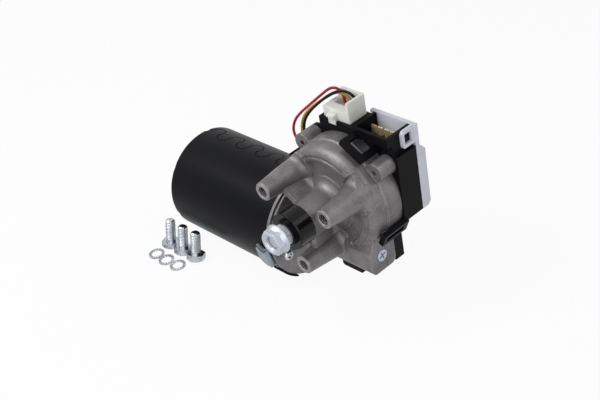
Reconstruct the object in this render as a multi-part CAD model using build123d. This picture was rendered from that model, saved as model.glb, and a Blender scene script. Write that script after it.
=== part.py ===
from build123d import *
import math
import os

# Windscreen wiper motor: a round brushed motor whose worm turns an output shaft at right angles.
# Millimetres. X runs along the motor towards the worm's end, the output shaft points to -Y, Z is up.
# The origin is on the output shaft's axis, in the plane of the three pillar tips.

# Fits and gaps shared by several pieces
press_gap = 0.02
running_gap = 0.04
seat_gap = 0.1
free_gap = 0.4

# Three mounting pillars
pillar_circle_r = 26.0
pillar_angles = (150, 30, 270)
pillar_tip_r = 5.3
pillar_root_r = 7.3
pillar_flare = 4.5
pillar_hole_r = 3.0
thread_mouth_r = 3.35
thread_depth = 20.0

# Gear end of the casting, a round drum on the output shaft's axis
front_y = 25.5
floor_wall = 2.7
drum_r = 33.0
front_flat_r = drum_r - 4.4
dome_r = drum_r - 0.7
shoulder_y = 32.0
ledge_y = 35.2
rim_y = 46.3
spigot_r = drum_r - 3.5
spigot_depth = 4.3
pocket_gap = 1.2
face_recess = 0.9
face_rib = 1.5
face_rib_h = 0.7
face_block_angles = (56, 124, -61, 10)

# Central tower that carries the output shaft, and the webs to the pillars
tower_r = 10.6
tower_flare = 5.5
tower_neck_r = 9.4
tower_neck_y = 4.0
tower_front_y = -2.0
web_front_y = 10.0
web_thickness = 3.4
web_flare = 3.6

# Worm gear pair
gear_module = 1.0
gear_teeth = 48
gear_width = 7.0
worm_pitch_r = 4.0
worm_length = 21.0
tooth_addendum = 0.9
tooth_dedendum = 1.25
flank_angle = 20.0
flank_gap = 0.1
gear_pitch_r = gear_module * gear_teeth / 2
gear_tip_r = gear_pitch_r + tooth_addendum
gear_root_r = gear_pitch_r - tooth_dedendum
worm_pitch = math.pi * gear_module
worm_tip_r = worm_pitch_r + tooth_addendum
worm_root_r = worm_pitch_r - tooth_dedendum

# Motor axis
motor_y = 32.0
motor_z = -(gear_pitch_r + worm_pitch_r)

# Steel can
can_r = 31.0
can_wall = 2.0
can_open_x = -30.2
can_length = 84.4
can_closed_x = can_open_x - can_length
can_edge_r = 1.6
can_tab_angles = (-149, -121)
can_tab_reach = 4.4
can_tab_t = 0.9
crimp_count = 6
crimp_phase = 20
crimp_width = 4.0
crimp_depth = 1.0
seam_angle = 78.0
seam_width = 0.75
seam_depth = 0.5
seam_half_period = 8.5
seam_lobes = 8
seam_reach = 5.6
seam_start = 8.0
end_plate_t = 1.6
end_cup_r = 9.0
end_cup_depth = 7.0

# Flange of the casting that closes the can
flange_t = 4.2
flange_r = can_r + 0.3
flange_groove_r = flange_r - 1.9
flange_groove_w = 1.6
flange_spigot = 3.0
flange_face_x = can_open_x + flange_t
flange_screw_r = can_r - 7.0
flange_screw_angles = (-163.4, 16.6)
flange_screw_core_r = 1.7
flange_screw_head_r = 3.0
flange_screw_head_h = 2.4
flange_screw_length = 12.0
flange_washer_r = 3.1
flange_washer_t = 2.2

# Clip over the can's rim, and the rubber block where the leads enter the can
can_clip_angle = -176
can_clip_drop = 13.4
can_clip_x = (can_open_x - 10.8, can_open_x + 1.4)
can_clip_t = 1.2
grommet_x = (-44.6, -34.0)
grommet_y = (46.0, 51.6)
grommet_top_z = motor_z + can_r
grommet_neck = 1.2

# Worm housing
worm_end_x = 27.6
worm_front_y = 23.6
worm_back_y = 41.8
worm_top_z = -12.0
worm_ramp_z = (-16.5, -23.5)
worm_floor = 9.5
worm_corner_r = 3.5
worm_bore_gap = 1.5

# Armature
shaft_r = 4.0
core_back_x = can_closed_x + 17.6
core_front_x = can_open_x - 26.8
core_length = core_front_x - core_back_x
core_mid_x = (core_back_x + core_front_x) / 2
core_slots = 12
slot_mouth = 2.0
slot_lip = 1.4
winding_length = 9.0
commutator_r = can_r - 20.5
commutator_length = 13.0
commutator_x = can_open_x - 16.3
commutator_bars = 12
bearing_r = 7.0
bearing_length = 8.0
bush_r = 6.3
worm_bush_length = 7.0
thrust_pad_t = 2.0
thrust_screw_r = 3.4

# Magnets
magnet_t = 5.4
magnet_span = 132.0
magnet_length = core_length + 8.0
magnet_gap = 0.7
magnet_out_r = can_r - can_wall - seat_gap
magnet_in_r = magnet_out_r - magnet_t
core_r = magnet_in_r - magnet_gap
winding_r = core_r - 2.8
slot_depth = 0.35 * core_r
slot_width = 0.245 * core_r

# Brush gear
brush_plate_t = 2.4
brush_plate_r = can_r - 4.0
brush_size = 5.0
brush_length = 8.0
brush_angles = (90, 270, 215)
brush_box_wall = 0.9
spring_r = 1.9
spring_wire = 0.35
spring_turns = 5

# Output shaft and what is on it
output_r = 6.0
output_end_y = -16.6
output_back_y = 39.0
thread_r = 3.95
cone_small_r = 4.5
cone_big_r = 5.4
cone_back_y = -8.4
cone_front_y = -11.9
cone_flutes = 36
bush_out_r = 8.0
front_bush_y = 4.0
front_bush_length = 8.0
rear_bush_length = 8.0
seal_depth = 3.4
retaining_clip_t = 1.0
groove_r = 5.2
washer_t = 0.8
cap_r = 11.0
cap_collar_r = 7.7
cap_collar_h = 1.6
cap_front_y = -8.2
cap_wall = 1.5
nut_flange_r = 8.7
nut_flange_t = 1.0
nut_across_flats = 13.0
nut_height = 5.2
hub_r = 10.0
gear_web_t = 3.0
disc_t = 0.5
disc_out_r = 19.5
disc_in_r = 12.0

# Contact springs that run on the park disc
contact_radii = (13.4, 16.0, 18.4)
contact_w = 1.6
contact_t = 0.4
contact_root = 9.0
contact_bend = 3.0
contact_tip = 8.6

# Black gear cover
apron_left_x = -4.0
cover_t = 2.0
cover_spigot_t = 1.6
cover_spigot_h = 3.4
cover_gasket_t = 0.8
box_left_x = -21.0
box_right_x = 33.5
box_bottom_z = -12.5
box_top_z = 27.5
box_back_y = 61.0
box_wall = 1.8
socket_left_x = 6.0
socket_right_x = 31.0
socket_front_y = 43.1
socket_step_z = 34.0
socket_top_z = 39.5
holder_front_y = 44.4
holder_top_z = 38.0
holder_floor_z = 31.0
screw_boss_r = 5.4
screw_boss_circle_r = drum_r + 1.7
screw_boss_angles = (40, 137)
screw_hole_r = 1.5
screw_shank_r = 1.45
cover_screw_head_r = 3.2
cover_screw_head_h = 2.2
cover_screw_length = 8.0

# Snap loops of the cover over teeth of the casting: angle, tangential middle,
# half width, reach and width of the bars
snap_top = (60.0, 3.9, 8.0, 3.8, 3.2)
snap_side = (-25.0, 0.0, 4.0, 3.6, 2.2)
snap_left = (157.0, 0.0, 4.6, 2.6, 2.6)
snap_front_y = 32.6
snap_side_front_y = 29.6
snap_tooth_inset = 1.4

# Bottom tab of the cover under the worm housing
tab_x = (2.0, 17.4)
tab_front_y = 26.0
tab_t = 3.6
tab_corner_r = 1.6

# Translucent rear cover
lid_t = 1.5
lid_depth = 6.6
lid_top_z = 39.5
lid_step_z = 22.5
lid_wall_y = 62.4
clip_loop_front_y = 52.3
clip_loop_z = (29.2, 39.5)

# Terminals in the vehicle socket
terminal_t = 0.8
terminal_w = 3.4
terminal_y = 55.5
terminal_x = (10.5, 15.0, 19.5, 24.0)
terminal_top_z = 35.6

# Pins inside the chamber and the plug of the motor leads
pin_x = (-12.0, -7.6, -3.2)
pin_w = 1.8
pin_t = 0.8
pin_top_z = 41.0
plug_x = (-16.6, 2.2)
plug_y = (46.4, 59.4)
plug_low_z = 44.2
plug_lead_z = 41.0
plug_high_z = 50.2
plug_wall = 1.5

# Motor leads: bends between the plug and the rubber block
lead_r = 0.8
red_points = (
    (-10.6, 57.0, 46.2), (-13.7, 56.9, 49.9), (-18.8, 55.5, 49.8), (-26.2, 53.8, 43.2),
    (-34.8, 53.0, 35.6), (-43.4, 52.3, 28.0), (-49.4, 51.8, 21.0), (-50.8, 50.8, 13.2),
    (-42.6, 48.8, 8.8))
yellow_points = (
    (-6.2, 57.0, 45.6), (-9.2, 55.6, 48.8), (-14.4, 54.4, 48.6), (-21.0, 53.4, 44.0),
    (-30.2, 52.4, 37.2), (-38.0, 51.6, 30.2), (-42.2, 51.0, 22.4), (-42.0, 50.0, 14.4),
    (-39.3, 48.8, 8.4))
black_points = (
    (-1.8, 57.0, 46.8), (-4.4, 55.4, 50.8), (-9.4, 53.6, 51.6), (-16.6, 51.8, 47.8),
    (-25.0, 50.6, 40.6), (-32.6, 49.8, 33.4), (-37.6, 49.2, 26.0), (-39.0, 49.0, 18.0),
    (-36.0, 48.8, 9.6))

# Loose fixings beside the motor
bolt_r = 2.9
bolt_length = 14.0
bolt_across_flats = 10.0
bolt_head_h = 4.0
bolt_tilt = 12.6
bolt_places = ((-115.8, -6.8), (-104.0, -6.8), (-92.3, -6.6))
lock_washer_r = 4.9
lock_washer_in_r = 3.2
lock_washer_t = 0.8
lock_washer_teeth = 14
lock_washer_places = ((-118.2, -16.8), (-108.2, -17.2), (-98.0, -16.6))
floor_z = motor_z - can_r


def block(x_span, y_span, z_span):
    """A box between two values on each axis."""
    size = Box(x_span[1] - x_span[0], y_span[1] - y_span[0], z_span[1] - z_span[0])
    middle = Pos(sum(x_span) / 2, sum(y_span) / 2, sum(z_span) / 2)
    return middle * size


def along_y(radius, y_span, x=0.0, z=0.0):
    """A round bar along Y."""
    bar = Cylinder(radius, y_span[1] - y_span[0])
    return Pos(x, sum(y_span) / 2, z) * Rot(90, 0, 0) * bar


def along_x(radius, x_span, y=motor_y, z=motor_z):
    """A round bar along X, on the motor's axis unless told otherwise."""
    bar = Cylinder(radius, x_span[1] - x_span[0])
    return Pos(sum(x_span) / 2, y, z) * Rot(0, 90, 0) * bar


def turned_on_shaft(*points):
    """A body turned about the output shaft's axis from (radius, y) points."""
    return revolve(make_face(Polyline(*points, close=True)), axis=Axis.Y)


def turned_on_motor(*points):
    """A body turned about the motor's axis from (x, radius) points."""
    body = revolve(make_face(Polyline(*points, close=True)), axis=Axis.X)
    return Pos(0, motor_y, motor_z) * body


def at_shaft_angle(angle, part):
    """Turn a part made at +X about the output shaft, anticlockwise seen from the front."""
    return Rot(0, -angle, 0) * part


def at_motor_angle(angle, part):
    """Turn a part made beside the X axis at +Y about the motor's axis and set it there."""
    return Pos(0, motor_y, motor_z) * Rot(angle, 0, 0) * part


def ring_on_shaft(inner, outer, y_span):
    """A flat ring about the output shaft."""
    return along_y(outer, y_span) - along_y(inner, y_span)


def ring_on_motor(inner, outer, x_span):
    """A flat ring about the motor's axis."""
    return along_x(outer, x_span) - along_x(inner, x_span)


def ring_sector(inner, outer, angles, y_span):
    """A part of a ring about the output shaft between two angles."""
    corners = [(inner, y_span[0]), (outer, y_span[0]), (outer, y_span[1]), (inner, y_span[1])]
    face = make_face(Polyline(*corners, close=True))
    sweep_angle = angles[1] - angles[0]
    return at_shaft_angle(angles[1], revolve(face, axis=Axis.Y, revolution_arc=sweep_angle))


def motor_sector(inner, outer, angles, x_span):
    """A part of a ring about the motor's axis between two angles."""
    corners = [(x_span[0], inner), (x_span[1], inner), (x_span[1], outer), (x_span[0], outer)]
    face = make_face(Polyline(*corners, close=True))
    piece = revolve(face, axis=Axis.X, revolution_arc=angles[1] - angles[0])
    return at_motor_angle(angles[0], piece)


def pillar_place(angle):
    """X and Z of a pillar's axis."""
    turn = math.radians(angle)
    return pillar_circle_r * math.cos(turn), pillar_circle_r * math.sin(turn)


def pillar():
    """One tapered pillar with a wide root, standing on the Y axis."""
    tip_chamfer = 0.6
    taper = Polyline(
        (0, 0), (pillar_tip_r - tip_chamfer, 0), (pillar_tip_r, tip_chamfer),
        (pillar_root_r, front_y - pillar_flare))
    flare = RadiusArc(
        (pillar_root_r, front_y - pillar_flare), (pillar_root_r + pillar_flare, front_y), pillar_flare)
    foot = Polyline(
        (pillar_root_r + pillar_flare, front_y), (pillar_root_r + pillar_flare, front_y + floor_wall),
        (0, front_y + floor_wall), (0, 0))
    return revolve(make_face(taper + flare + foot), axis=Axis.Y)


def web():
    """One web from the tower to a pillar, thicker where it meets the front plate."""
    half = web_thickness / 2
    wide = half + web_flare
    side = RadiusArc((half, front_y - web_flare), (wide, front_y), web_flare)
    other = RadiusArc((-wide, front_y), (-half, front_y - web_flare), web_flare)
    outline = side + other
    outline += Line((wide, front_y), (wide, front_y + 1))
    outline += Line((wide, front_y + 1), (-wide, front_y + 1))
    outline += Line((-wide, front_y + 1), (-wide, front_y))
    outline += Line((-half, front_y - web_flare), (-half, web_front_y))
    outline += Line((-half, web_front_y), (half, web_front_y))
    outline += Line((half, web_front_y), (half, front_y - web_flare))
    length = pillar_circle_r - tower_neck_r - thread_mouth_r
    bar = extrude(make_face(outline), length)
    return Rot(0, 90, 0) * Pos(0, 0, tower_neck_r) * bar


def can_room():
    """Room taken by the can's open end, cut from what stands beside it."""
    return along_x(can_r + free_gap, (can_closed_x, can_open_x + 0.05))


def drum():
    """Outside of the gear end: flat front, rounded shoulder, ledge and rim."""
    front = Polyline((0, front_y), (front_flat_r, front_y))
    shoulder = ThreePointArc(
        (front_flat_r, front_y), (dome_r - 0.9, front_y + 2.3), (dome_r, shoulder_y))
    side = Polyline(
        (dome_r, shoulder_y), (dome_r, ledge_y), (drum_r, ledge_y + 0.7), (drum_r, rim_y),
        (0, rim_y), (0, front_y))
    return revolve(make_face(front + shoulder + side), axis=Axis.Y)


def tower():
    """Central tower with a neck for the cap and a wide root."""
    nose = Polyline(
        (0, tower_front_y), (tower_neck_r, tower_front_y), (tower_neck_r, tower_neck_y),
        (tower_r, tower_neck_y), (tower_r, front_y - tower_flare))
    flare = RadiusArc(
        (tower_r, front_y - tower_flare), (tower_r + tower_flare, front_y), tower_flare)
    root = Polyline(
        (tower_r + tower_flare, front_y), (tower_r + tower_flare, front_y + 1),
        (0, front_y + 1), (0, tower_front_y))
    return revolve(make_face(nose + flare + root), axis=Axis.Y)


def worm_housing():
    """Rounded bar that holds the worm and joins the drum to the flange, with a ramp at its front."""
    floor = motor_z - worm_floor
    inside_y = front_y + 1.5
    outline = make_face(Polyline(
        (worm_back_y, worm_top_z), (inside_y, worm_top_z), (inside_y, worm_ramp_z[0]),
        (worm_front_y, worm_ramp_z[1]), (worm_front_y, floor), (worm_back_y, floor), close=True))
    lower = outline.vertices().sort_by(Axis.Y)[:2]
    outline = fillet(lower, worm_corner_r)
    place = Plane(origin=(flange_face_x, 0, 0), x_dir=(0, 1, 0), z_dir=(1, 0, 0))
    return extrude(place * outline, worm_end_x - flange_face_x)


def flange():
    """Round flange with a rim groove and a spigot that fits the can."""
    groove_x = flange_face_x - 0.8
    inner_r = can_r - can_wall - seat_gap
    return turned_on_motor(
        (can_open_x - flange_spigot, 0), (can_open_x - flange_spigot, inner_r),
        (can_open_x + 0.1, inner_r), (can_open_x + 0.1, flange_r),
        (groove_x - flange_groove_w, flange_r), (groove_x - flange_groove_w, flange_groove_r),
        (groove_x, flange_groove_r), (groove_x, flange_r - 0.3),
        (flange_face_x, flange_r - 0.6), (flange_face_x, 0))


def flange_hollow():
    """Space inside the flange for the brush gear."""
    return along_x(
        brush_plate_r + 0.2, (can_open_x - flange_spigot - 1, can_open_x - 0.2))


def shaft_bores():
    """Bores for the bushes, the seal and the output shaft."""
    rear_start = gear_floor_y() - rear_bush_length
    cuts = along_y(output_r + 0.5, (tower_front_y - 1, gear_floor_y() + 1))
    cuts += along_y(bush_out_r + press_gap, (front_bush_y, front_bush_y + front_bush_length))
    cuts += along_y(bush_out_r + press_gap, (rear_start, gear_floor_y() + 1))
    cuts += along_y(bush_out_r + press_gap, (tower_front_y - 1, front_bush_y + 1))
    return cuts


def gear_floor_y():
    """Inside face of the front plate."""
    return front_y + floor_wall


def screw_boss(angle):
    """A lug on the drum's side that takes a cover screw."""
    boss = along_y(screw_boss_r, (ledge_y, rim_y), x=screw_boss_circle_r)
    neck = block(
        (drum_r - 4, screw_boss_circle_r), (ledge_y, rim_y), (-screw_boss_r, screw_boss_r))
    return at_shaft_angle(angle, boss + neck)


def snap_tooth(snap, front):
    """A ramped tooth on the drum that a snap loop of the cover hooks over."""
    angle, middle, half, rise, bar = snap
    tip = drum_r + rise - snap_tooth_inset
    reach = half - bar - 0.6
    low_y = front + bar + 0.5
    high_y = low_y + 4.0
    ramp = Polyline(
        (drum_r - 3, low_y), (tip, low_y), (tip, low_y + 1.6),
        (drum_r - 0.4, high_y), (drum_r - 3, high_y), close=True)
    tooth = extrude(make_face(ramp), reach, both=True)
    return at_shaft_angle(angle, Pos(0, 0, middle) * tooth)


def face_details():
    """Recesses, ribs and end blocks of the front plate between the webs."""
    inner = tower_r + tower_flare - 1
    outer = front_flat_r - 3.4
    recess = ring_on_shaft(inner, outer, (front_y - 1, front_y + face_recess))
    span = (front_y - face_rib_h, front_y + 1)
    ribs = ring_sector(outer, outer + face_rib, (58, 122), span)
    ribs += ring_sector(front_flat_r - 4.2, front_flat_r - 1.2, (-60, 8), span)
    for angle in face_block_angles:
        ribs += ring_sector(
            outer - 1.4, front_flat_r, (angle - 3.5, angle + 3.5), (span[0] - 0.5, span[1]))
    return recess, ribs


def gear_housing():
    """The die-cast housing: drum, tower, pillars, webs, worm housing and flange in one piece."""
    body = drum()
    recess, ribs = face_details()
    body -= recess
    body += ribs
    limit = along_y(dome_r, (-5, ledge_y))
    feet = Part()
    bars = Part()
    for angle in pillar_angles:
        x, z = pillar_place(angle)
        feet += Pos(x, 0, z) * pillar()
        bars += Pos(x, 0, z) * along_y(pillar_root_r - 0.4, (front_y - 2, ledge_y))
        body += at_shaft_angle(angle, web())
    straight = Part()
    for angle in pillar_angles:
        x, z = pillar_place(angle)
        cone = turned_on_shaft(
            (0, 0.6), (pillar_tip_r, 0.6), (pillar_root_r, front_y), (0, front_y))
        straight += Pos(x, 0, z) * cone
    body += (feet & limit) + bars + straight
    body += tower()
    body += worm_housing()
    body -= can_room()
    body += flange()
    for angle in screw_boss_angles:
        body += screw_boss(angle)
    body += snap_tooth(snap_top, snap_front_y)
    body += snap_tooth(snap_side, snap_side_front_y)
    body += snap_tooth(snap_left, snap_side_front_y)
    body -= along_y(gear_tip_r + pocket_gap, (gear_floor_y(), rim_y + 1))
    body -= along_y(spigot_r, (rim_y - spigot_depth, rim_y + 1))
    body -= shaft_bores()
    body -= flange_hollow()
    body -= worm_bores()
    for angle in pillar_angles:
        x, z = pillar_place(angle)
        body -= Pos(x, 0, z) * turned_on_shaft(
            (0, -1), (thread_mouth_r + 1, -1), (pillar_hole_r, thread_mouth_r - pillar_hole_r),
            (pillar_hole_r, thread_depth), (0, thread_depth + 1.5))
    for angle in screw_boss_angles:
        hole = along_y(screw_hole_r, (ledge_y - 1, rim_y + 1), x=screw_boss_circle_r)
        body -= at_shaft_angle(angle, hole)
    for angle in flange_screw_angles:
        hole = along_x(
            flange_screw_core_r + 0.2, (can_open_x - 10, flange_face_x + 1), flange_screw_r, 0)
        body -= at_motor_angle(angle, hole)
    return body


def worm_bores():
    """Stepped bore along the motor's axis for bearing, worm, bush and thrust screw."""
    bush_x = bush_span()
    cuts = along_x(bearing_r + press_gap, (can_open_x - 5, bearing_span()[1]))
    cuts += along_x(worm_tip_r + worm_bore_gap, (bearing_span()[1] - 1, bush_x[0]))
    cuts += along_x(bush_r + press_gap, (bush_x[0] - 1, bush_x[1]))
    cuts += along_x(thrust_screw_r + seat_gap, (bush_x[1] - 1, worm_end_x + 1))
    return cuts


def bearing_span():
    """Where the bearing sits in the flange."""
    return flange_face_x - 1.0, flange_face_x - 1.0 + bearing_length


def bush_span():
    """Where the bush sits at the worm's free end."""
    depth = -motor_z - bush_r
    start = math.sqrt(gear_tip_r ** 2 - depth ** 2) + free_gap
    return start, start + worm_bush_length


def motor_can():
    """Rolled steel tube with a jigsaw seam, crimp notches and a rim tab over the flange."""
    inner = can_r - can_wall
    shell = Polyline(
        (can_closed_x, inner), (can_open_x, inner), (can_open_x, can_r),
        (can_closed_x + can_edge_r, can_r))
    corner = RadiusArc(
        (can_closed_x + can_edge_r, can_r), (can_closed_x, can_r - can_edge_r), -can_edge_r)
    lip = Line((can_closed_x, can_r - can_edge_r), (can_closed_x, inner))
    tube = revolve(make_face(shell + corner + lip), axis=Axis.X)
    tube = Pos(0, motor_y, motor_z) * tube
    for index in range(crimp_count):
        notch = block(
            (can_closed_x - 1, can_closed_x + 2.2), (can_r - crimp_depth, can_r + 1),
            (-crimp_width / 2, crimp_width / 2))
        tube -= at_motor_angle(crimp_phase + index * 360 / crimp_count, notch)
    tube -= seam_groove()
    tube -= grommet_stem(grommet_neck - press_gap)
    tab_low = flange_r + 0.05
    tab_high = tab_low + can_tab_t
    tube += motor_sector(can_r - 0.5, tab_high, can_tab_angles, (can_open_x - 2.5, can_open_x))
    tube += motor_sector(
        tab_low, tab_high, can_tab_angles, (can_open_x - 0.5, can_open_x + can_tab_reach))
    return tube


def seam_groove():
    """The interlocking seam of the rolled tube, as a groove made of tangent arcs."""
    half = seam_half_period / 2
    offset = (seam_reach ** 2 - half ** 2) / (2 * seam_reach)
    radius = seam_reach - offset
    first = can_closed_x + seam_start
    start = (first - half, 0)
    path = Line((can_closed_x, 0), start)
    for lobe in range(seam_lobes):
        side = 1 if lobe % 2 == 0 else -1
        middle = first + seam_half_period * lobe
        top = (middle, side * (offset + radius))
        end = (middle + half, 0)
        path += ThreePointArc(start, top, end)
        start = end
    path += Line(start, (can_open_x, 0))
    cutter = extrude(trace(path, seam_width), can_r + 2)
    skin = Pos((can_closed_x + can_open_x) / 2, 0, 0) * Rot(0, 90, 0) * (
        Cylinder(can_r + 1, can_length + 2) - Cylinder(can_r - seam_depth, can_length + 4))
    return at_motor_angle(seam_angle - 90, cutter & skin)


def end_plate_x():
    """Outer face of the plate that closes the can."""
    return can_closed_x + 2.4


def can_end_plate():
    """Pressed plate with a cup for the armature's rear bush."""
    edge = can_r - can_wall - seat_gap
    near = end_plate_x()
    far = near - end_cup_depth
    return turned_on_motor(
        (near, edge), (near, end_cup_r), (far, end_cup_r - 1), (far, 0),
        (far + end_plate_t, 0), (far + end_plate_t, end_cup_r - 1 - end_plate_t),
        (near + end_plate_t, end_cup_r - end_plate_t), (near + end_plate_t, edge))


def can_bush():
    """Sintered bush in the cup of the end plate."""
    far = end_plate_x() - end_cup_depth + end_plate_t
    outer = end_cup_r - 1 - end_plate_t - seat_gap
    return turned_on_motor(
        (far + seat_gap, shaft_r + running_gap), (far + seat_gap, outer - 1), (far + 1.2, outer),
        (far + 4.6, outer), (far + 5.8, outer - 1), (far + 5.8, shaft_r + running_gap))


def magnets():
    """Two ferrite shells glued inside the can."""
    half = magnet_span / 2
    span = (core_mid_x - magnet_length / 2, core_mid_x + magnet_length / 2)
    shells = Part()
    for middle in (0, 180):
        shells += motor_sector(magnet_in_r, magnet_out_r, (middle - half, middle + half), span)
    return shells


def magnet_springs():
    """Two bent steel springs that spread the magnets apart."""
    half = (180 - magnet_span) / 2 - 0.6
    leg = 2.2
    span = (core_mid_x - magnet_length / 2 + 4, core_mid_x + magnet_length / 2 - 4)
    springs = Part()
    for middle in (90, 270):
        springs += motor_sector(magnet_out_r - 0.8, magnet_out_r, (middle - half, middle + half), span)
        for side in (-1, 1):
            edge = middle + side * (half - leg / 2)
            springs += motor_sector(
                magnet_in_r + 1, magnet_out_r, (edge - leg / 2, edge + leg / 2), span)
    return springs


def core_span():
    """Ends of the laminated stack."""
    return core_back_x, core_front_x


def slot_bar(gap):
    """The room of one armature slot below its mouth, smaller all round by a gap."""
    top = core_r - slot_lip - gap
    return block(
        (core_span()[0] - 1, core_span()[1] + 1), (top - slot_depth + 2 * gap, top),
        (-slot_width / 2 + gap, slot_width / 2 - gap))


def armature_core():
    """Laminated stack with slots for the windings."""
    through = (core_back_x - 1, core_front_x + 1)
    stack = along_x(core_r, core_span()) - along_x(shaft_r + press_gap, through)
    mouth = block(through, (core_r - 2, core_r + 1), (-slot_mouth / 2, slot_mouth / 2))
    for index in range(core_slots):
        angle = index * 360 / core_slots
        stack -= at_motor_angle(angle, mouth + slot_bar(0))
    return stack


def armature_winding():
    """Copper winding: bars in the slots and a rounded bundle at each end."""
    low, high = core_span()
    coil = Part()
    for index in range(core_slots):
        coil += at_motor_angle(index * 360 / core_slots, slot_bar(0.15))
    for face, side in ((low - 0.3, -1), (high + 0.3, 1)):
        far = face + side * winding_length
        coil += turned_on_motor(
            (face, shaft_r + 3), (face, winding_r + 1), (far - side * 3, winding_r + 1),
            (far, winding_r - 3), (far, shaft_r + 6), (far - side * 3, shaft_r + 3))
    return coil


def commutator():
    """Copper segments on the shaft, parted by narrow slots, with a riser."""
    span = (commutator_x, commutator_x + commutator_length)
    body = turned_on_motor(
        (span[0], shaft_r + press_gap), (span[0], commutator_r + 1.6), (span[0] + 1.6, commutator_r + 1.6),
        (span[0] + 2.2, commutator_r), (span[1], commutator_r), (span[1], shaft_r + press_gap))
    slot = block((span[0] - 1, span[1] + 1), (commutator_r - 1.2, commutator_r + 2), (-0.25, 0.25))
    for index in range(commutator_bars):
        body -= at_motor_angle((index + 0.5) * 360 / commutator_bars, slot)
    return body


def worm_thread():
    """One-start right-hand thread, a trapezoid swept along a helix."""
    turns = int(worm_length / worm_pitch) // 2 * 2
    root = worm_root_r - 0.2
    slope = math.tan(math.radians(flank_angle))
    half_tip = worm_pitch / 4 - flank_gap - tooth_addendum * slope
    half_root = worm_pitch / 4 - flank_gap + (worm_pitch_r - root) * slope
    helix = Helix(worm_pitch, turns * worm_pitch, root)
    start = Plane(origin=helix @ 0, x_dir=(1, 0, 0), z_dir=helix % 0)
    depth = worm_tip_r - root
    shape = Polyline(
        (0, -half_root), (depth, -half_tip), (depth, half_tip), (0, half_root), close=True)
    thread = sweep(start * make_face(shape), path=helix, is_frenet=True)
    place = Pos(-turns * worm_pitch / 2, motor_y, motor_z)
    return place * Rot(180, 0, 0) * Rot(0, 90, 0) * thread


def armature_shaft():
    """Steel shaft from the rear bush to the thrust pad, with the worm rolled on it."""
    back = end_plate_x() - end_cup_depth + end_plate_t + 0.6
    neck = worm_length / 2 + 0.8
    tip = bush_span()[1] - 0.6
    body = turned_on_motor(
        (back, 0), (back, shaft_r - 0.6), (back + 0.6, shaft_r), (-neck, shaft_r),
        (-neck, worm_root_r), (neck, worm_root_r), (neck, shaft_r), (tip - 0.6, shaft_r),
        (tip, shaft_r - 0.6), (tip, 0))
    return body + worm_thread()


def motor_bearing():
    """Bearing of the armature in the flange."""
    return ring_on_motor(shaft_r + running_gap, bearing_r, bearing_span())


def worm_bush():
    """Bush at the worm's free end."""
    return ring_on_motor(shaft_r + running_gap, bush_r, bush_span())


def thrust_pad():
    """Hard pad between the shaft's end and the thrust screw."""
    start = bush_span()[1] - 0.55
    return along_x(shaft_r - 1.2, (start, start + thrust_pad_t))


def thrust_screw():
    """Screw that sets the end play, with a cross recess, flush with the casting."""
    start = bush_span()[1] - 0.5 + thrust_pad_t
    face = worm_end_x + 0.2
    screw = along_x(thrust_screw_r, (start, face))
    arm = block((face - 1.2, face + 1), (-2.4, 2.4), (-0.45, 0.45))
    for angle in (0, 90):
        screw -= at_motor_angle(angle + 20, arm)
    return screw


def brush_middle_x():
    """Middle of the track that the brushes run on."""
    return commutator_x + commutator_length / 2 + 1.5


def brush_plate():
    """Insulating plate in the can's mouth with three open brush boxes."""
    plate_x = can_open_x - flange_spigot - seat_gap - brush_plate_t
    plate = ring_on_motor(
        commutator_r + 1.5, brush_plate_r, (plate_x, plate_x + brush_plate_t))
    half = brush_size / 2
    outer = half + brush_box_wall
    near = commutator_r + 1.8
    far = brush_plate_r - 1.5
    post_x = (plate_x, can_open_x - seat_gap - 0.2)
    posts = Part()
    for angle in flange_screw_angles:
        posts += at_motor_angle(angle, along_x(3.6, post_x, flange_screw_r, 0))
    plate += posts & along_x(brush_plate_r - 0.2, post_x)
    for angle in flange_screw_angles:
        plate -= at_motor_angle(
            angle, along_x(flange_screw_core_r + press_gap, (plate_x - 5, 0), flange_screw_r, 0))
    for angle in brush_angles:
        box = block((brush_middle_x() - outer, plate_x + 0.5), (near, far), (-outer, outer))
        hollow = block(
            (brush_middle_x() - half - seat_gap, brush_middle_x() + half + seat_gap),
            (near - 1, far - 1.2), (-half - seat_gap, half + seat_gap))
        plate += at_motor_angle(angle, box)
        plate -= at_motor_angle(angle, hollow)
    return plate


def brushes():
    """Three carbon brushes: common, slow and fast."""
    half = brush_size / 2
    start = commutator_r + 0.08
    group = Part()
    for angle in brush_angles:
        block_shape = block(
            (brush_middle_x() - half, brush_middle_x() + half), (start, start + brush_length),
            (-half, half))
        group += at_motor_angle(angle, block_shape)
    return group


def brush_springs():
    """Three coil springs that press the brushes, drawn as closed stacks of rings."""
    start = commutator_r + 0.08 + brush_length
    end = brush_plate_r - 2.7
    group = Part()
    for angle in brush_angles:
        core = Pos(brush_middle_x(), (start + end) / 2, 0) * Rot(90, 0, 0) * Cylinder(
            spring_r - spring_wire, end - start)
        for turn in range(spring_turns):
            y = start + (turn + 0.5) * (end - start) / spring_turns
            core += Pos(brush_middle_x(), y, 0) * Rot(90, 0, 0) * Cylinder(
                spring_r, (end - start) / spring_turns / 2)
        core -= Pos(brush_middle_x(), (start + end) / 2, 0) * Rot(90, 0, 0) * Cylinder(
            spring_r - 2 * spring_wire, end - start + 1)
        group += at_motor_angle(angle, core)
    return group


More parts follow.
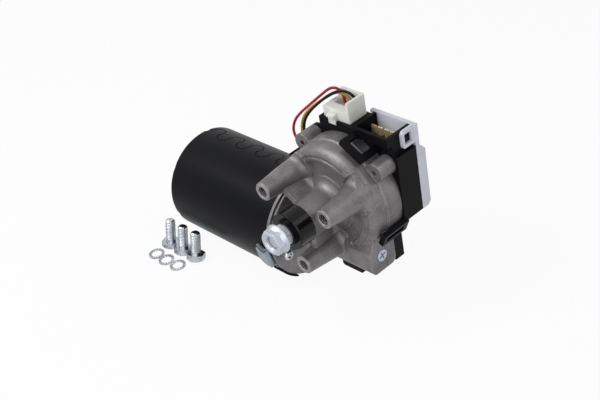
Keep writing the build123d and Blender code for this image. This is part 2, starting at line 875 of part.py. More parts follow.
def flange_screws():
    """Two pan-head screws with a star recess that hold the can to the flange."""
    group = Part()
    seat = flange_face_x + flange_washer_t
    for angle in flange_screw_angles:
        shank = along_x(flange_screw_core_r, (seat - flange_screw_length, seat), flange_screw_r, 0)
        head = along_x(flange_screw_head_r, (seat, seat + flange_screw_head_h), flange_screw_r, 0)
        head = fillet(head.edges().filter_by(GeomType.CIRCLE).sort_by(Axis.X)[-1], 1.2)
        top = seat + flange_screw_head_h
        recess = Part()
        for turn in range(3):
            arm = block((top - 1.2, top + 1), (-1.7, 1.7), (-0.5, 0.5))
            recess += Pos(0, flange_screw_r, 0) * Rot(turn * 60, 0, 0) * arm
        group += at_motor_angle(angle, shank + head - recess)
    return group


def flange_washers():
    """A flat and a spring washer under the head of each flange screw, drawn as one stack."""
    group = Part()
    for angle in flange_screw_angles:
        span = (flange_face_x, flange_face_x + flange_washer_t)
        middle = sum(span) / 2
        ring = along_x(flange_washer_r, (span[0], middle - 0.1), flange_screw_r, 0)
        ring += along_x(flange_washer_r - 0.5, span, flange_screw_r, 0)
        ring += along_x(flange_washer_r - 0.1, (middle + 0.1, span[1]), flange_screw_r, 0)
        ring -= along_x(flange_screw_core_r + 0.1, (span[0] - 1, span[1] + 1), flange_screw_r, 0)
        group += at_motor_angle(angle, ring)
    return group


def can_clip():
    """Flat zinc-plated clip against the can's rim, with a folded and scooped upper edge."""
    inner = flange_r + seat_gap
    outer = inner + can_clip_t
    clip = block(can_clip_x, (inner, outer), (-1.5, can_clip_drop))
    clip += block(can_clip_x, (inner, outer + 1.4), (-1.5, -0.1))
    scoop = Pos(sum(can_clip_x) / 2, 0, -3.4) * Rot(90, 0, 0) * Cylinder(4.6, 200)
    clip = at_motor_angle(can_clip_angle, clip - scoop)
    foot = at_motor_angle(can_clip_angle, block(
        (can_clip_x[0], can_clip_x[0] + 3), (can_r - 0.6, inner + 0.1), (-1.5, 4.0)))
    foot -= along_x(can_r + 0.02, (can_closed_x, 0))
    return clip + foot


def lead_grommet():
    """Rubber block in a slot of the can where the motor leads go in."""
    body = block(grommet_x, grommet_y, (motor_z + can_r - 8, grommet_top_z))
    body -= along_x(can_r + press_gap, (can_closed_x, 0))
    body += grommet_stem(grommet_neck)
    return body


def grommet_stem(inset):
    """The part of the grommet that fills the slot in the can."""
    stem = block(
        (grommet_x[0] + inset, grommet_x[1] - inset), (grommet_y[0] + inset, grommet_y[1] - inset),
        (motor_z + can_r - 12, grommet_top_z - 1))
    return stem & ring_on_motor(can_r - can_wall, can_r + 0.3, (can_closed_x, 0))


def front_bush():
    """Sintered bush at the front of the tower."""
    return ring_on_shaft(
        output_r + running_gap, bush_out_r, (front_bush_y, front_bush_y + front_bush_length))


def rear_bush():
    """Sintered bush behind the gear's floor."""
    return ring_on_shaft(
        output_r + running_gap, bush_out_r, (gear_floor_y() - rear_bush_length, gear_floor_y()))


def shaft_seal():
    """Rubber ring that keeps water out of the tower."""
    middle = tower_front_y + 0.2 + seal_depth / 2
    return turned_on_shaft(
        (output_r + 0.08, middle), (output_r + 0.7, middle - 0.5), (output_r + 0.7, middle - seal_depth / 2),
        (bush_out_r, middle - seal_depth / 2), (bush_out_r, middle + seal_depth / 2),
        (output_r + 0.7, middle + seal_depth / 2), (output_r + 0.7, middle + 0.5))


def shaft_washer():
    """Thrust washer on the tower's front face."""
    back = tower_front_y - seat_gap
    return ring_on_shaft(output_r + running_gap, tower_neck_r - 0.6, (back - washer_t, back))


def clip_y():
    """Front and back of the retaining clip."""
    back = tower_front_y - seat_gap - washer_t - 0.05
    return back - retaining_clip_t, back


def retaining_clip():
    """Open ring in a groove of the shaft."""
    ring = ring_on_shaft(groove_r + 0.04, tower_neck_r - 1.6, clip_y())
    through = (clip_y()[0] - 1, clip_y()[1] + 1)
    return ring - ring_sector(groove_r - 1, tower_neck_r, (-115, -65), through)


def shaft_cap():
    """Glossy black cap pushed over the tower's neck, with a collar round the shaft."""
    bore = tower_neck_r + 0.04
    edge_y = cap_front_y + cap_collar_h
    lip = output_r + free_gap
    back = tower_neck_y - seat_gap
    return turned_on_shaft(
        (bore, back), (cap_r, back), (cap_r, edge_y + 0.5), (cap_r - 0.5, edge_y),
        (cap_collar_r, edge_y), (cap_collar_r, cap_front_y), (lip, cap_front_y),
        (lip, edge_y + cap_wall), (bore, edge_y + cap_wall))


def fluted_cone():
    """Tapered seat for the crank, fluted along its length."""
    faces = []
    for y, radius in ((cone_front_y, cone_small_r), (cone_back_y, cone_big_r)):
        points = []
        for index in range(2 * cone_flutes):
            turn = math.pi * index / cone_flutes
            r = radius if index % 2 == 0 else radius - 0.35
            points.append((r * math.cos(turn), y, r * math.sin(turn)))
        faces.append(make_face(Polyline(*points, close=True)).face())
    return loft(faces, ruled=True)


def output_shaft():
    """Output shaft: thread for the nut, fluted cone, journal, clip groove and gear seat."""
    groove = (clip_y()[0] - 0.05, clip_y()[1] + 0.05)
    rod = turned_on_shaft(
        (0, output_end_y), (thread_r - 0.8, output_end_y), (thread_r, output_end_y + 0.8),
        (thread_r, cone_front_y + 0.2), (cone_small_r - 0.5, cone_front_y + 0.4),
        (cone_big_r - 0.5, cone_back_y - 0.2),
        (output_r, cone_back_y), (output_r, groove[0]), (groove_r, groove[0]), (groove_r, groove[1]),
        (output_r, groove[1]), (output_r, output_back_y - 0.6), (output_r - 0.6, output_back_y),
        (0, output_back_y))
    return rod + fluted_cone()


def hexagon(across_flats, y_span):
    """A hexagonal bar along Y."""
    shape = RegularPolygon(across_flats / 2, 6, major_radius=False)
    base = Plane(origin=(0, y_span[0], 0), x_dir=(1, 0, 0), z_dir=(0, 1, 0))
    return extrude(base * shape, y_span[1] - y_span[0])


def crank_nut():
    """Flanged hexagon nut at the cone's small end."""
    back = cone_front_y - seat_gap
    front = back - nut_height
    corner = nut_across_flats / math.sqrt(3)
    turned = turned_on_shaft(
        (0, front), (nut_across_flats / 2 - 0.6, front), (corner, front + 0.9), (corner, back), (0, back))
    nut = hexagon(nut_across_flats, (front, back)) & turned
    nut += turned_on_shaft(
        (0, back), (nut_flange_r - 0.5, back), (nut_flange_r, back - 0.5),
        (nut_flange_r, back - nut_flange_t),
        (nut_across_flats / 2, back - nut_flange_t - 1.0), (0, back - nut_flange_t - 1.0))
    nut -= turned_on_shaft(
        (0, back + 1), (thread_r + 0.05, back + 1), (thread_r + 0.05, front + 0.8),
        (thread_r + 0.85, front - 0.05), (0, front - 0.05))
    return nut


def gear_blank():
    """Toothed disc: a ruled loft between two turned copies of one tooth outline."""
    lead = worm_pitch / (2 * math.pi * worm_pitch_r)
    pitch_angle = 2 * math.pi / gear_teeth
    slope = math.tan(math.radians(flank_angle))
    half_pitch_t = worm_pitch / 4 - flank_gap
    half_tip = (half_pitch_t - tooth_addendum * slope) / gear_tip_r
    half_root = (half_pitch_t + tooth_dedendum * slope) / gear_root_r
    faces = []
    for offset in (-gear_width / 2, gear_width / 2):
        shift = -lead * offset / gear_pitch_r
        points = []
        for tooth in range(gear_teeth):
            middle = -math.pi / 2 + (tooth + 0.5) * pitch_angle + shift
            corners = (
                (gear_root_r, -half_root), (gear_tip_r, -half_tip),
                (gear_tip_r, half_tip), (gear_root_r, half_root))
            for radius, turn in corners:
                angle = middle + turn
                points.append(
                    (radius * math.cos(angle), motor_y + offset, radius * math.sin(angle)))
        faces.append(make_face(Polyline(*points, close=True)).face())
    return loft(faces, ruled=True)


def gear_span():
    """Front and back of the gear's rim."""
    return motor_y - gear_width / 2, motor_y + gear_width / 2


def worm_gear():
    """Moulded gear with a hub, a thin web and eight ribs."""
    front, back = gear_span()
    rim_r = gear_root_r - 2.4
    gear = gear_blank()
    gear -= ring_on_shaft(hub_r, rim_r, (front - 1, back - gear_web_t))
    for index in range(8):
        rib = block((hub_r - 1, rim_r + 1), (front + 1.2, back - gear_web_t + 0.5), (-0.7, 0.7))
        gear += at_shaft_angle(index * 45, rib)
    gear += along_y(hub_r, (back - 1, output_back_y - 1))
    gear -= along_y(output_r + press_gap, (front - 1, output_back_y + 1))
    return gear


def park_disc():
    """Brass contact disc on the gear's back, with the gap that marks the park position."""
    span = (gear_span()[1] + press_gap, gear_span()[1] + disc_t)
    disc = ring_on_shaft(disc_in_r, disc_out_r, span)
    middle = (disc_in_r + disc_out_r) / 2
    return disc - ring_sector(middle, disc_out_r + 1, (200, 235), (span[0] - 1, span[1] + 1))


def cover_gasket():
    """Rubber ring between the cover's spigot and the casting."""
    seat = rim_y - spigot_depth
    return ring_on_shaft(spigot_r - 1.6, spigot_r - seat_gap, (seat + 0.05, seat + cover_gasket_t))


def plate_span():
    """Front and back of the cover's plate."""
    return rim_y + seat_gap, rim_y + seat_gap + cover_t


def snap_loop(snap, front):
    """A loop that reaches forward from the cover over a tooth of the casting."""
    angle, middle, half, rise, bar = snap
    outer = drum_r + rise
    back = plate_span()[1]
    inner = drum_r + 0.5
    tangential = (middle - half, middle + half)
    loop = block((inner, outer), (front, back), tangential)
    loop += block((drum_r - 4, outer), plate_span(), tangential)
    window = block(
        (inner - 1, outer + 1), (front + bar, back - cover_t - 1.2),
        (middle - half + bar, middle + half - bar))
    return at_shaft_angle(angle, loop - window)


def cover_box():
    """Walls of the contact chamber behind the plate, open at the back."""
    outer = block(
        (box_left_x, box_right_x), (plate_span()[0], box_back_y), (box_bottom_z, box_top_z))
    hollow = block(
        (box_left_x + box_wall, box_right_x - box_wall), (plate_span()[1], box_back_y + 1),
        (box_bottom_z + box_wall, box_top_z - box_wall))
    return outer - hollow


def vehicle_socket():
    """Socket for the vehicle's plug on top of the chamber, open at the top."""
    x_span = (socket_left_x, socket_right_x)
    upper = block(x_span, (socket_front_y, box_back_y), (socket_step_z, socket_top_z))
    lower = block(x_span, (plate_span()[0], box_back_y), (box_top_z - 1, socket_step_z + 1))
    return upper + lower


def socket_hollow():
    """Room inside the vehicle socket."""
    x_span = (socket_left_x + box_wall, socket_right_x - box_wall)
    room = block(x_span, (plate_span()[1], box_back_y + 1), (box_top_z, socket_top_z + 1))
    room += block(
        x_span, (socket_front_y + box_wall, box_back_y + 1),
        (socket_step_z + box_wall, socket_top_z + 1))
    return room


def plug_holder():
    """Frame that grips the white plug, left of the socket."""
    x_span = (plug_x[0] - 2.4, socket_left_x + 0.5)
    return block(x_span, (holder_front_y, box_back_y), (box_top_z - 1, holder_top_z))


def plug_room():
    """Room for the white plug and its latch, cut from the frame."""
    room = block(
        (plug_x[0] - seat_gap, plug_x[1] + seat_gap), (plug_y[0] - seat_gap, plug_y[1] + seat_gap),
        (holder_floor_z, holder_top_z + 1))
    notch = block(
        (plug_x[0] + 4, plug_x[0] + 10.5), (holder_front_y - 1, plug_y[0] + 1),
        (holder_top_z - 3, holder_top_z + 1))
    return room + notch


def gear_cover():
    """Black moulded cover: plate, spigot, contact chamber, socket, plug frame, snaps and apron."""
    front, back = plate_span()
    body = along_y(drum_r - 0.2, (front, back))
    body += ring_on_shaft(
        spigot_r - seat_gap - cover_spigot_t, spigot_r - seat_gap, (front - cover_spigot_h, front + 0.5))
    body += cover_box()
    body += vehicle_socket()
    body += plug_holder()
    apron = block(
        (apron_left_x, worm_end_x), (worm_back_y + seat_gap, back), (motor_z - worm_floor, worm_top_z))
    tab_top = motor_z - worm_floor - seat_gap
    tab = block(tab_x, (tab_front_y, worm_back_y + 1), (tab_top - tab_t, tab_top))
    apron += fillet(tab.edges().filter_by(Axis.Y).sort_by(Axis.Z)[:2], tab_corner_r)
    apron += block(tab_x, (worm_back_y + seat_gap, back), (tab_top - tab_t, tab_top + 1))
    body += apron - along_y(drum_r + seat_gap, (0, front))
    body += snap_loop(snap_top, snap_front_y)
    body += snap_loop(snap_side, snap_side_front_y)
    body += snap_loop(snap_left, snap_side_front_y)
    ear = along_y(screw_boss_r, (front, back + 1), x=screw_boss_circle_r)
    ear += block((drum_r - 4, screw_boss_circle_r), (front, back + 1), (-screw_boss_r, screw_boss_r))
    body += at_shaft_angle(screw_boss_angles[1], ear)
    body -= along_y(drum_r + seat_gap, (0, front)) - along_y(spigot_r - seat_gap, (-1, front + 1))
    body -= socket_hollow()
    body -= plug_room()
    body -= along_x(flange_r + free_gap, (can_closed_x, flange_face_x + free_gap))
    for angle, seat in zip(screw_boss_angles, cover_screw_seats()):
        hole = along_y(screw_hole_r + 0.2, (front - 1, back + 3), x=screw_boss_circle_r)
        hole += along_y(
            cover_screw_head_r + seat_gap, (seat, seat + cover_screw_head_h + 1), x=screw_boss_circle_r)
        body -= at_shaft_angle(angle, hole)
    body -= block(
        (grommet_x[0] - free_gap, grommet_x[1] + free_gap),
        (grommet_y[0] - free_gap, grommet_y[1] + free_gap), (motor_z, grommet_top_z + free_gap))
    body += socket_keys()
    body -= terminal_blades(seat_gap)
    body -= pin_blades(seat_gap)
    body += block(
        (socket_right_x - 0.5, socket_right_x + 1.4), (clip_loop_front_y + 3.0, clip_loop_front_y + 5.6),
        (clip_loop_z[0] + 3.4, clip_loop_z[1] - 4.0))
    return body


def socket_keys():
    """Ribs in the socket that code the vehicle's plug."""
    front = plate_span()[1]
    keys = block((13.0, 16.6), (front - 0.5, front + 2.4), (box_top_z - 0.5, socket_step_z + 1))
    keys += block((20.6, 22.4), (front - 0.5, front + 2.4), (box_top_z - 0.5, socket_step_z + 1))
    return keys


def cover_screw_seats():
    """Where the heads of the two cover screws sit, along Y."""
    return plate_span()[1], plate_span()[1] + 1


def cover_screws():
    """Two self-tapping screws through the cover into the casting's lugs."""
    group = Part()
    for angle, seat in zip(screw_boss_angles, cover_screw_seats()):
        shank = along_y(screw_shank_r, (seat - cover_screw_length, seat), x=screw_boss_circle_r)
        head = along_y(cover_screw_head_r, (seat, seat + cover_screw_head_h), x=screw_boss_circle_r)
        cross = Box(3.6, 2.0, 0.8) + Box(0.8, 2.0, 3.6)
        slot = Pos(screw_boss_circle_r, seat + cover_screw_head_h, 0) * cross
        group += at_shaft_angle(angle, shank + head - slot)
    return group


def park_contacts():
    """Three bent contact springs from the cover to the park disc."""
    low = gear_span()[1] + disc_t + 0.3
    high = plate_span()[0] - seat_gap
    strips = Part()
    for radius in contact_radii:
        outline = Polyline(
            (-contact_root, high - contact_t), (contact_bend, high - contact_t),
            (contact_tip - 1.4, low + 0.5), (contact_tip - 0.6, low), (contact_tip, low),
            (contact_tip, low + contact_t), (contact_tip - 0.5, low + contact_t),
            (contact_bend + 0.3, high), (-contact_root, high), close=True)
        strip = extrude(make_face(outline), contact_w / 2, both=True)
        strips += at_shaft_angle(90, Pos(radius, 0, 0) * Rot(0, 90, 0) * strip)
    return strips


def terminal_blades(gap):
    """Blades of the vehicle socket, grown by a gap to cut their slots."""
    group = Part()
    half = terminal_w / 2 + gap
    for x in terminal_x:
        group += block(
            (x - half, x + half), (terminal_y - terminal_t / 2 - gap, terminal_y + terminal_t / 2 + gap),
            (box_top_z - box_wall - 3.0 - gap, terminal_top_z + gap))
    return group


def terminals():
    """Four brass blades with a foot inside the chamber."""
    group = terminal_blades(0)
    foot_z = box_top_z - box_wall - 3.0
    for x in terminal_x:
        group += block(
            (x - terminal_w / 2, x + terminal_w / 2), (plate_span()[1] + 3.0, terminal_y),
            (foot_z, foot_z + terminal_t))
    return group


def pin_blades(gap):
    """Pins that the white plug slides on, grown by a gap to cut their slots."""
    group = Part()
    middle = sum(plug_y) / 2
    for x in pin_x:
        group += block(
            (x - pin_w / 2 - gap, x + pin_w / 2 + gap),
            (middle - pin_t / 2 - gap, middle + pin_t / 2 + gap),
            (box_top_z - box_wall - 3.0 - gap, pin_top_z + gap))
    return group


def plug_pins():
    """Three brass pins with a foot inside the chamber."""
    group = pin_blades(0)
    foot_z = box_top_z - box_wall - 3.0
    for x in pin_x:
        group += block(
            (x - pin_w / 2, x + pin_w / 2), (plate_span()[1] + seat_gap, sum(plug_y) / 2),
            (foot_z, foot_z + pin_t))
    return group


def motor_plug():
    """White plug of the motor leads: low body, tall back and right walls, front latch."""
    floor = holder_floor_z + seat_gap
    body = block(plug_x, plug_y, (floor, plug_low_z))
    body -= block(
        (plug_x[0] + 3, plug_x[1] - plug_wall), (plug_y[0] + 5.4, plug_y[1] + 1),
        (plug_lead_z, plug_low_z + 1))
    body += block((plug_x[0] + 3, plug_x[1]), (plug_y[1] - plug_wall, plug_y[1]), (floor, plug_high_z))
    body += block((plug_x[1] - plug_wall, plug_x[1]), plug_y, (floor, plug_high_z))
    latch_x = (plug_x[0] + 4.6, plug_x[0] + 9.9)
    body += block(latch_x, (plug_y[0] - 1.8, plug_y[0] + 0.5), (holder_top_z - 2.4, plug_low_z - 2.0))
    body += block(latch_x, (plug_y[0] - 3.0, plug_y[0] + 0.5), (holder_top_z + 2.0, holder_top_z + 3.4))
    body -= pin_blades(seat_gap)
    for route in lead_routes():
        x, y, z = route[0]
        body -= Pos(x, y, z) * Cylinder(lead_r + 0.4, 2.4)
        body += Pos(x, y, z - 0.7) * Cylinder(lead_r + 0.5, 1.4)
    return body


def lid_outline(inset):
    """Side view of the translucent lid, as Y and Z, shrunk by its wall where it is the inside."""
    front = box_back_y + seat_gap - (1.0 if inset else 0.0)
    back = box_back_y + lid_depth - inset
    upper = lid_wall_y + lid_t - inset
    low = box_bottom_z + inset
    corner = 2.0
    return [
        (front, low), (back - corner, low), (back, low + corner), (back, lid_step_z - inset / 2),
        (upper, lid_step_z + 4 - inset / 2), (upper, lid_top_z - inset), (front, lid_top_z - inset)]


def rear_cover():
    """Translucent lid of the contact chamber with two clip loops."""
    outer = extrude(
        Plane.YZ.offset(box_left_x) * make_face(Polyline(*lid_outline(0), close=True)),
        box_right_x - box_left_x)
    inner = extrude(
        Plane.YZ.offset(box_left_x + lid_t) * make_face(Polyline(*lid_outline(lid_t), close=True)),
        box_right_x - box_left_x - 2 * lid_t)
    lid = outer - inner
    lid += block(
        (socket_left_x + box_wall, socket_right_x - box_wall),
        (box_back_y + seat_gap, lid_wall_y + lid_t), (box_top_z + 0.5, lid_top_z))
    above = (box_top_z + 0.5, lid_top_z + 1)
    lid -= block((box_left_x - 1, plug_x[1] + 0.6), (box_back_y - 1, box_back_y + lid_depth + 1), above)
    lid -= block((box_left_x - 1, box_right_x + 1), (box_back_y - 1, box_back_y + seat_gap + 0.4), above)
    reach = (clip_loop_front_y, box_back_y + 2.5)
    loop = block((socket_right_x + seat_gap, socket_right_x + seat_gap + 1.7), reach, clip_loop_z)
    loop = fillet(loop.edges().filter_by(Axis.X).sort_by(Axis.Y)[:2], 2.2)
    loop -= block(
        (socket_right_x - 1, socket_right_x + 3), (reach[0] + 2.0, box_back_y - 1.4),
        (clip_loop_z[0] + 2.0, clip_loop_z[1] - 2.2))
    lid += loop
    return lid


def lead_routes():
    """Chosen points of the red, yellow and black leads, from the plug to the grommet."""
    routes = []
    for points in (red_points, yellow_points, black_points):
        start = (points[0][0], points[0][1], plug_lead_z)
        end = (points[-1][0], points[-1][1], grommet_top_z)
        routes.append((start, *points, end))
    return routes


def lead(route):
    """A lead with its straight runs joined by the largest arcs that they allow."""
    points = [Vector(*point) for point in route]
    radii = []
    for before, corner, after in zip(points, points[1:], points[2:]):
        first = corner - before
        second = after - corner
        half_turn = math.radians(first.get_angle(second)) / 2
        shorter = min(first.length, second.length)
        radii.append(0.45 * shorter / math.tan(half_turn))
    path = FilletPolyline(*points, radius=radii)
    print("lead radii", [round(radius, 1) for radius in radii], "length", round(path.length, 1))
    section = Plane(origin=path @ 0, z_dir=path % 0) * Circle(lead_r)
    tube = sweep(section, path=path)
    print("volume ratio", round(tube.volume / (math.pi * lead_r ** 2 * path.length), 4))
    return tube


def lead_red():
    return lead(lead_routes()[0])


def lead_yellow():
    return lead(lead_routes()[1])


def lead_black():
    return lead(lead_routes()[2])


def mounting_bolt():
    """A hexagon bolt that stands on its head."""
    corner = bolt_across_flats / math.sqrt(3)
    head = extrude(RegularPolygon(bolt_across_flats / 2, 6, major_radius=False), bolt_head_h)
    crown = make_face(Polyline(
        (0, 0, 0), (bolt_across_flats / 2 - 0.3, 0, 0), (corner, 0, 0.7), (corner, 0, bolt_head_h),
        (0, 0, bolt_head_h), close=True))
    head = head & revolve(crown, axis=Axis.Z)
    shank = Pos(0, 0, bolt_head_h + bolt_length / 2) * Cylinder(bolt_r, bolt_length)
    shank = chamfer(shank.edges().filter_by(GeomType.CIRCLE).sort_by(Axis.Z)[-1], 0.7)
    return head + shank


def mounting_bolts():
    """The three loose bolts that stand beside the motor."""
    group = Part()
    lift = bolt_across_flats / 2 * math.sin(math.radians(bolt_tilt))
    for x, y in bolt_places:
        group += Pos(x, y, floor_z + lift) * Rot(-bolt_tilt, 0, 0) * mounting_bolt()
    return group


def lock_washer():
    """A flat washer with teeth round its inside."""
    ring = Cylinder(lock_washer_r, lock_washer_t) - Cylinder(lock_washer_in_r, 2 * lock_washer_t)
    for index in range(lock_washer_teeth):
        gap = Pos(lock_washer_in_r + 0.3, 0, 0) * Box(1.6, 0.6, 2 * lock_washer_t)
        ring -= Rot(0, 0, index * 360 / lock_washer_teeth) * gap
    return ring


def lock_washers():
    """The three loose toothed washers that lie in front of the bolts."""
    group = Part()
    for x, y in lock_washer_places:
        group += Pos(x, y, floor_z + lock_washer_t / 2) * lock_washer()
    return group


def main():
    """Build every piece and write one file for each."""
    makers = (
        gear_housing, motor_can, can_end_plate, can_bush, magnets, magnet_springs,
        armature_shaft, armature_core, armature_winding, commutator, motor_bearing, worm_bush,
        thrust_pad, thrust_screw, brush_plate, brushes, brush_springs, flange_screws,
        flange_washers, can_clip, lead_grommet, front_bush, rear_bush, shaft_seal, output_shaft,
        shaft_washer, retaining_clip, shaft_cap, crank_nut, worm_gear, park_disc, cover_gasket,
        gear_cover, cover_screws, park_contacts, terminals, rear_cover, plug_pins, motor_plug,
        lead_red, lead_yellow, lead_black, mounting_bolts, lock_washers)
    os.makedirs("parts", exist_ok=True)
    for maker in makers:
        export_step(maker(), os.path.join("parts", maker.__name__ + ".step"))


main()
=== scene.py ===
import bmesh
import bpy
import numpy as np
from bpy.props import FloatProperty, FloatVectorProperty, IntProperty, PointerProperty
from mathutils import Matrix


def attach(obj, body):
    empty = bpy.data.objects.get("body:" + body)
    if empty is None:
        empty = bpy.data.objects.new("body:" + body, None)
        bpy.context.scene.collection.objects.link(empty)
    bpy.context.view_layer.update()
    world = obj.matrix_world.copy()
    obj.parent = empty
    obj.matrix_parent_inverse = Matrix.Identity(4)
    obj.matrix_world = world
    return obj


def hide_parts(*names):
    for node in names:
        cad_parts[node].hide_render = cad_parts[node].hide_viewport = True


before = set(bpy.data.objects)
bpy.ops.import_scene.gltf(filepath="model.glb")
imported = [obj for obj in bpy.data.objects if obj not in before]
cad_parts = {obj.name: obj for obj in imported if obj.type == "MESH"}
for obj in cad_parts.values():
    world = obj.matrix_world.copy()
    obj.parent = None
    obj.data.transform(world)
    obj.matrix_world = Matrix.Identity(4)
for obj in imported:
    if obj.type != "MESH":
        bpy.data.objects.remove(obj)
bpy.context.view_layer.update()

bl_info = {
    "name": "Wiper motor dressing",
    "version": (1, 0, 0),
    "blender": (4, 5, 0),
    "location": "3D View > Sidebar > Wiper motor",
    "description": "Finishes, leads, screw threads and studio for a windscreen wiper motor",
    "category": "Object",
}

# The scene is in metres, and the sizes and places below are in millimetres, but for those of
# the camera and lamps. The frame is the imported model's: X along the motor, the output shaft
# along -Y, Z up, the origin on the shaft's axis in the plane of the pillar tips.
MM = 0.001

# The photograph's view, fitted on the motor itself: rows are right, down and forward, and its
# reach is the nearest and farthest distance that it shows
VIEW_ROWS = (
    (0.693971, 0.702994, -0.155576),
    (0.312742, -0.488942, -0.814327),
    (-0.648534, 0.516464, -0.559167),
)
VIEW_PLACE = (0.38648, -0.301712, 0.346359)
VIEW_LENS = 69.2685
VIEW_SENSOR = 36.0
VIEW_REACH = (0.01, 20.0)

# The studio: what the lamps look at, each lamp's place and side, the floor that the can lies on,
# and the share of the floor that the camera sees as plain white
LAMP_AIM = (-0.03, 0.03, -0.01)
LAMPS = {
    "key": ((-0.42, -0.42, 0.80), 0.5),
    "fill": ((0.50, -0.70, 0.35), 0.8),
    "rim": ((0.55, 0.55, 0.55), 0.6),
}
FLOOR_Z = -59.0
FLOOR_WHITE = 0.93

# Bends of the three leads between plug and rubber block
LEAD_POINTS = {
    "lead_red": (
        (-10.6, 57.0, 41.0), (-10.6, 57.0, 46.2), (-13.7, 56.9, 49.9), (-18.8, 55.5, 49.8),
        (-26.2, 53.8, 43.2), (-34.8, 53.0, 35.6), (-43.4, 52.3, 28.0), (-49.4, 51.8, 21.0),
        (-50.8, 50.8, 13.2), (-42.6, 48.8, 8.8), (-42.6, 48.8, 3.0)),
    "lead_yellow": (
        (-6.2, 57.0, 41.0), (-6.2, 57.0, 45.6), (-9.2, 55.6, 48.8), (-14.4, 54.4, 48.6),
        (-21.0, 53.4, 44.0), (-30.2, 52.4, 37.2), (-38.0, 51.6, 30.2), (-42.2, 51.0, 22.4),
        (-42.0, 50.0, 14.4), (-39.3, 48.8, 8.4), (-39.3, 48.8, 3.0)),
    "lead_black": (
        (-1.8, 57.0, 41.0), (-1.8, 57.0, 46.8), (-4.4, 55.4, 50.8), (-9.4, 53.6, 51.6),
        (-16.6, 51.8, 47.8), (-25.0, 50.6, 40.6), (-32.6, 49.8, 33.4), (-37.6, 49.2, 26.0),
        (-39.0, 49.0, 18.0), (-36.0, 48.8, 9.6), (-36.0, 48.8, 3.0)),
}

# Tapped holes of the pillars: the circle that they stand on, their angles on it in degrees,
# their radius, and how far in the thread starts
PILLAR_CIRCLE_R = 26.0
PILLAR_ANGLES = (150, 30, 270)
PILLAR_BORE_R = 3.0
PILLAR_THREAD_Y = 0.9

# A screw ridge: how far the five points of its section stand out, as shares of its height, and
# where they lie along the axis, as shares of its half width, which is a share of the pitch;
# the part of a turn in which it grows or ends, its least width there, and its steps in a turn
RIDGE_OUT = (-0.25, 0.75, 1.0, 0.75, -0.25)
RIDGE_ALONG = (-1.0, -0.3, 0.0, 0.3, 1.0)
RIDGE_HALF_WIDTH = 0.42
RIDGE_GROWTH = 0.6
RIDGE_END = 0.05
RIDGE_STEPS = 36

# Lines that the mould left on the casting: the parting line outside a radius, and the round
# marks of ejector pins on its face, as X, Z and radius, in front of a depth
PARTING_Y = 34.8
PARTING_R = 32.5
EJECTOR_MARKS = ((25.3, 2.4, 1.7), (15.5, -14.0, 1.9))
EJECTOR_BACK_Y = 28.0

# Motor's axis, and the clip over the can's rim: where it runs along the can, where its seat
# steps from the can to the flange, the two seats' radii, the angle of its upper edge, the share
# of its length where it is deepest, the shares of its height that its lower edge rises by on
# each side of that, the small gap and chamfer of its edges, and the rows of its grid
MOTOR_Y = 32.0
MOTOR_Z = -28.0
CLIP_X = (-37.4, -28.2)
CLIP_STEP_X = -30.5
CLIP_SEAT_R = (31.03, 31.4)
CLIP_TOP_ANGLE = 179.0
CLIP_DEEP_U = 0.4
CLIP_RISE = (0.45, 0.2)
CLIP_HEM = 0.25
CLIP_ROWS = 49

# The nut: Y of its back and of the shaft's end in it, and the flange's height
NUT_BACK_Y = -12.0
NUT_SHAFT_END_Y = -16.6
NUT_FLANGE_H = 3.0

# The nut's profile, as radius and Y: the flange's edge from its rim and back, and the foot of the
# hexagon from its corner and the flange's front; then the chamfer's depth, how far inside the
# flats it ends, and the height of the thread in the bore
NUT_EDGE = ((-0.5, 0.0), (-0.1, -0.15), (0.0, -0.5), (-0.1, -1.0), (-0.5, -1.35))
NUT_FOOT = ((-0.2, 0.9), (0.0, 0.0), (0.0, -1.0))
NUT_CHAMFER = 0.9
NUT_FACE_INSET = 0.5
NUT_THREAD_H = 0.45

# The turn of the nut's corner in degrees, and its steps in a turn, a chamfer and the bore
NUT_CORNER_ANGLE = 2.0
NUT_STEPS = 144
NUT_CHAMFER_STEPS = 12
NUT_THREAD_STEPS = 20

# The output shaft's flutes, and the Y where their cone ends at the cap
FLUTES = 36
CONE_BACK_Y = -8.4

# The step in X from one sheet of the armature's core to the next, and the step in the sum of X,
# Y and Z from one wire of its winding to the next
CORE_SHEET = 0.5
WINDING_WIRE = 0.683

# Loose bolts: X and Y of the middle of the head's foot, their lean, the head's height and half
# width, the shank's length, where the thread starts above the head, and how much of the shank
# has no thread
BOLT_PLACES = ((-115.8, -6.8), (-104.0, -6.8), (-92.3, -6.6))
BOLT_LEAN = np.radians(12.6)
BOLT_HEAD_H = 4.0
BOLT_HEAD_HALF = 5.0
BOLT_SHANK = 14.0
BOLT_THREAD_START = 1.0
BOLT_PLAIN = 2.2

# An edge that turns by more than this is shaded sharp
SHARP_ANGLE = np.radians(30)

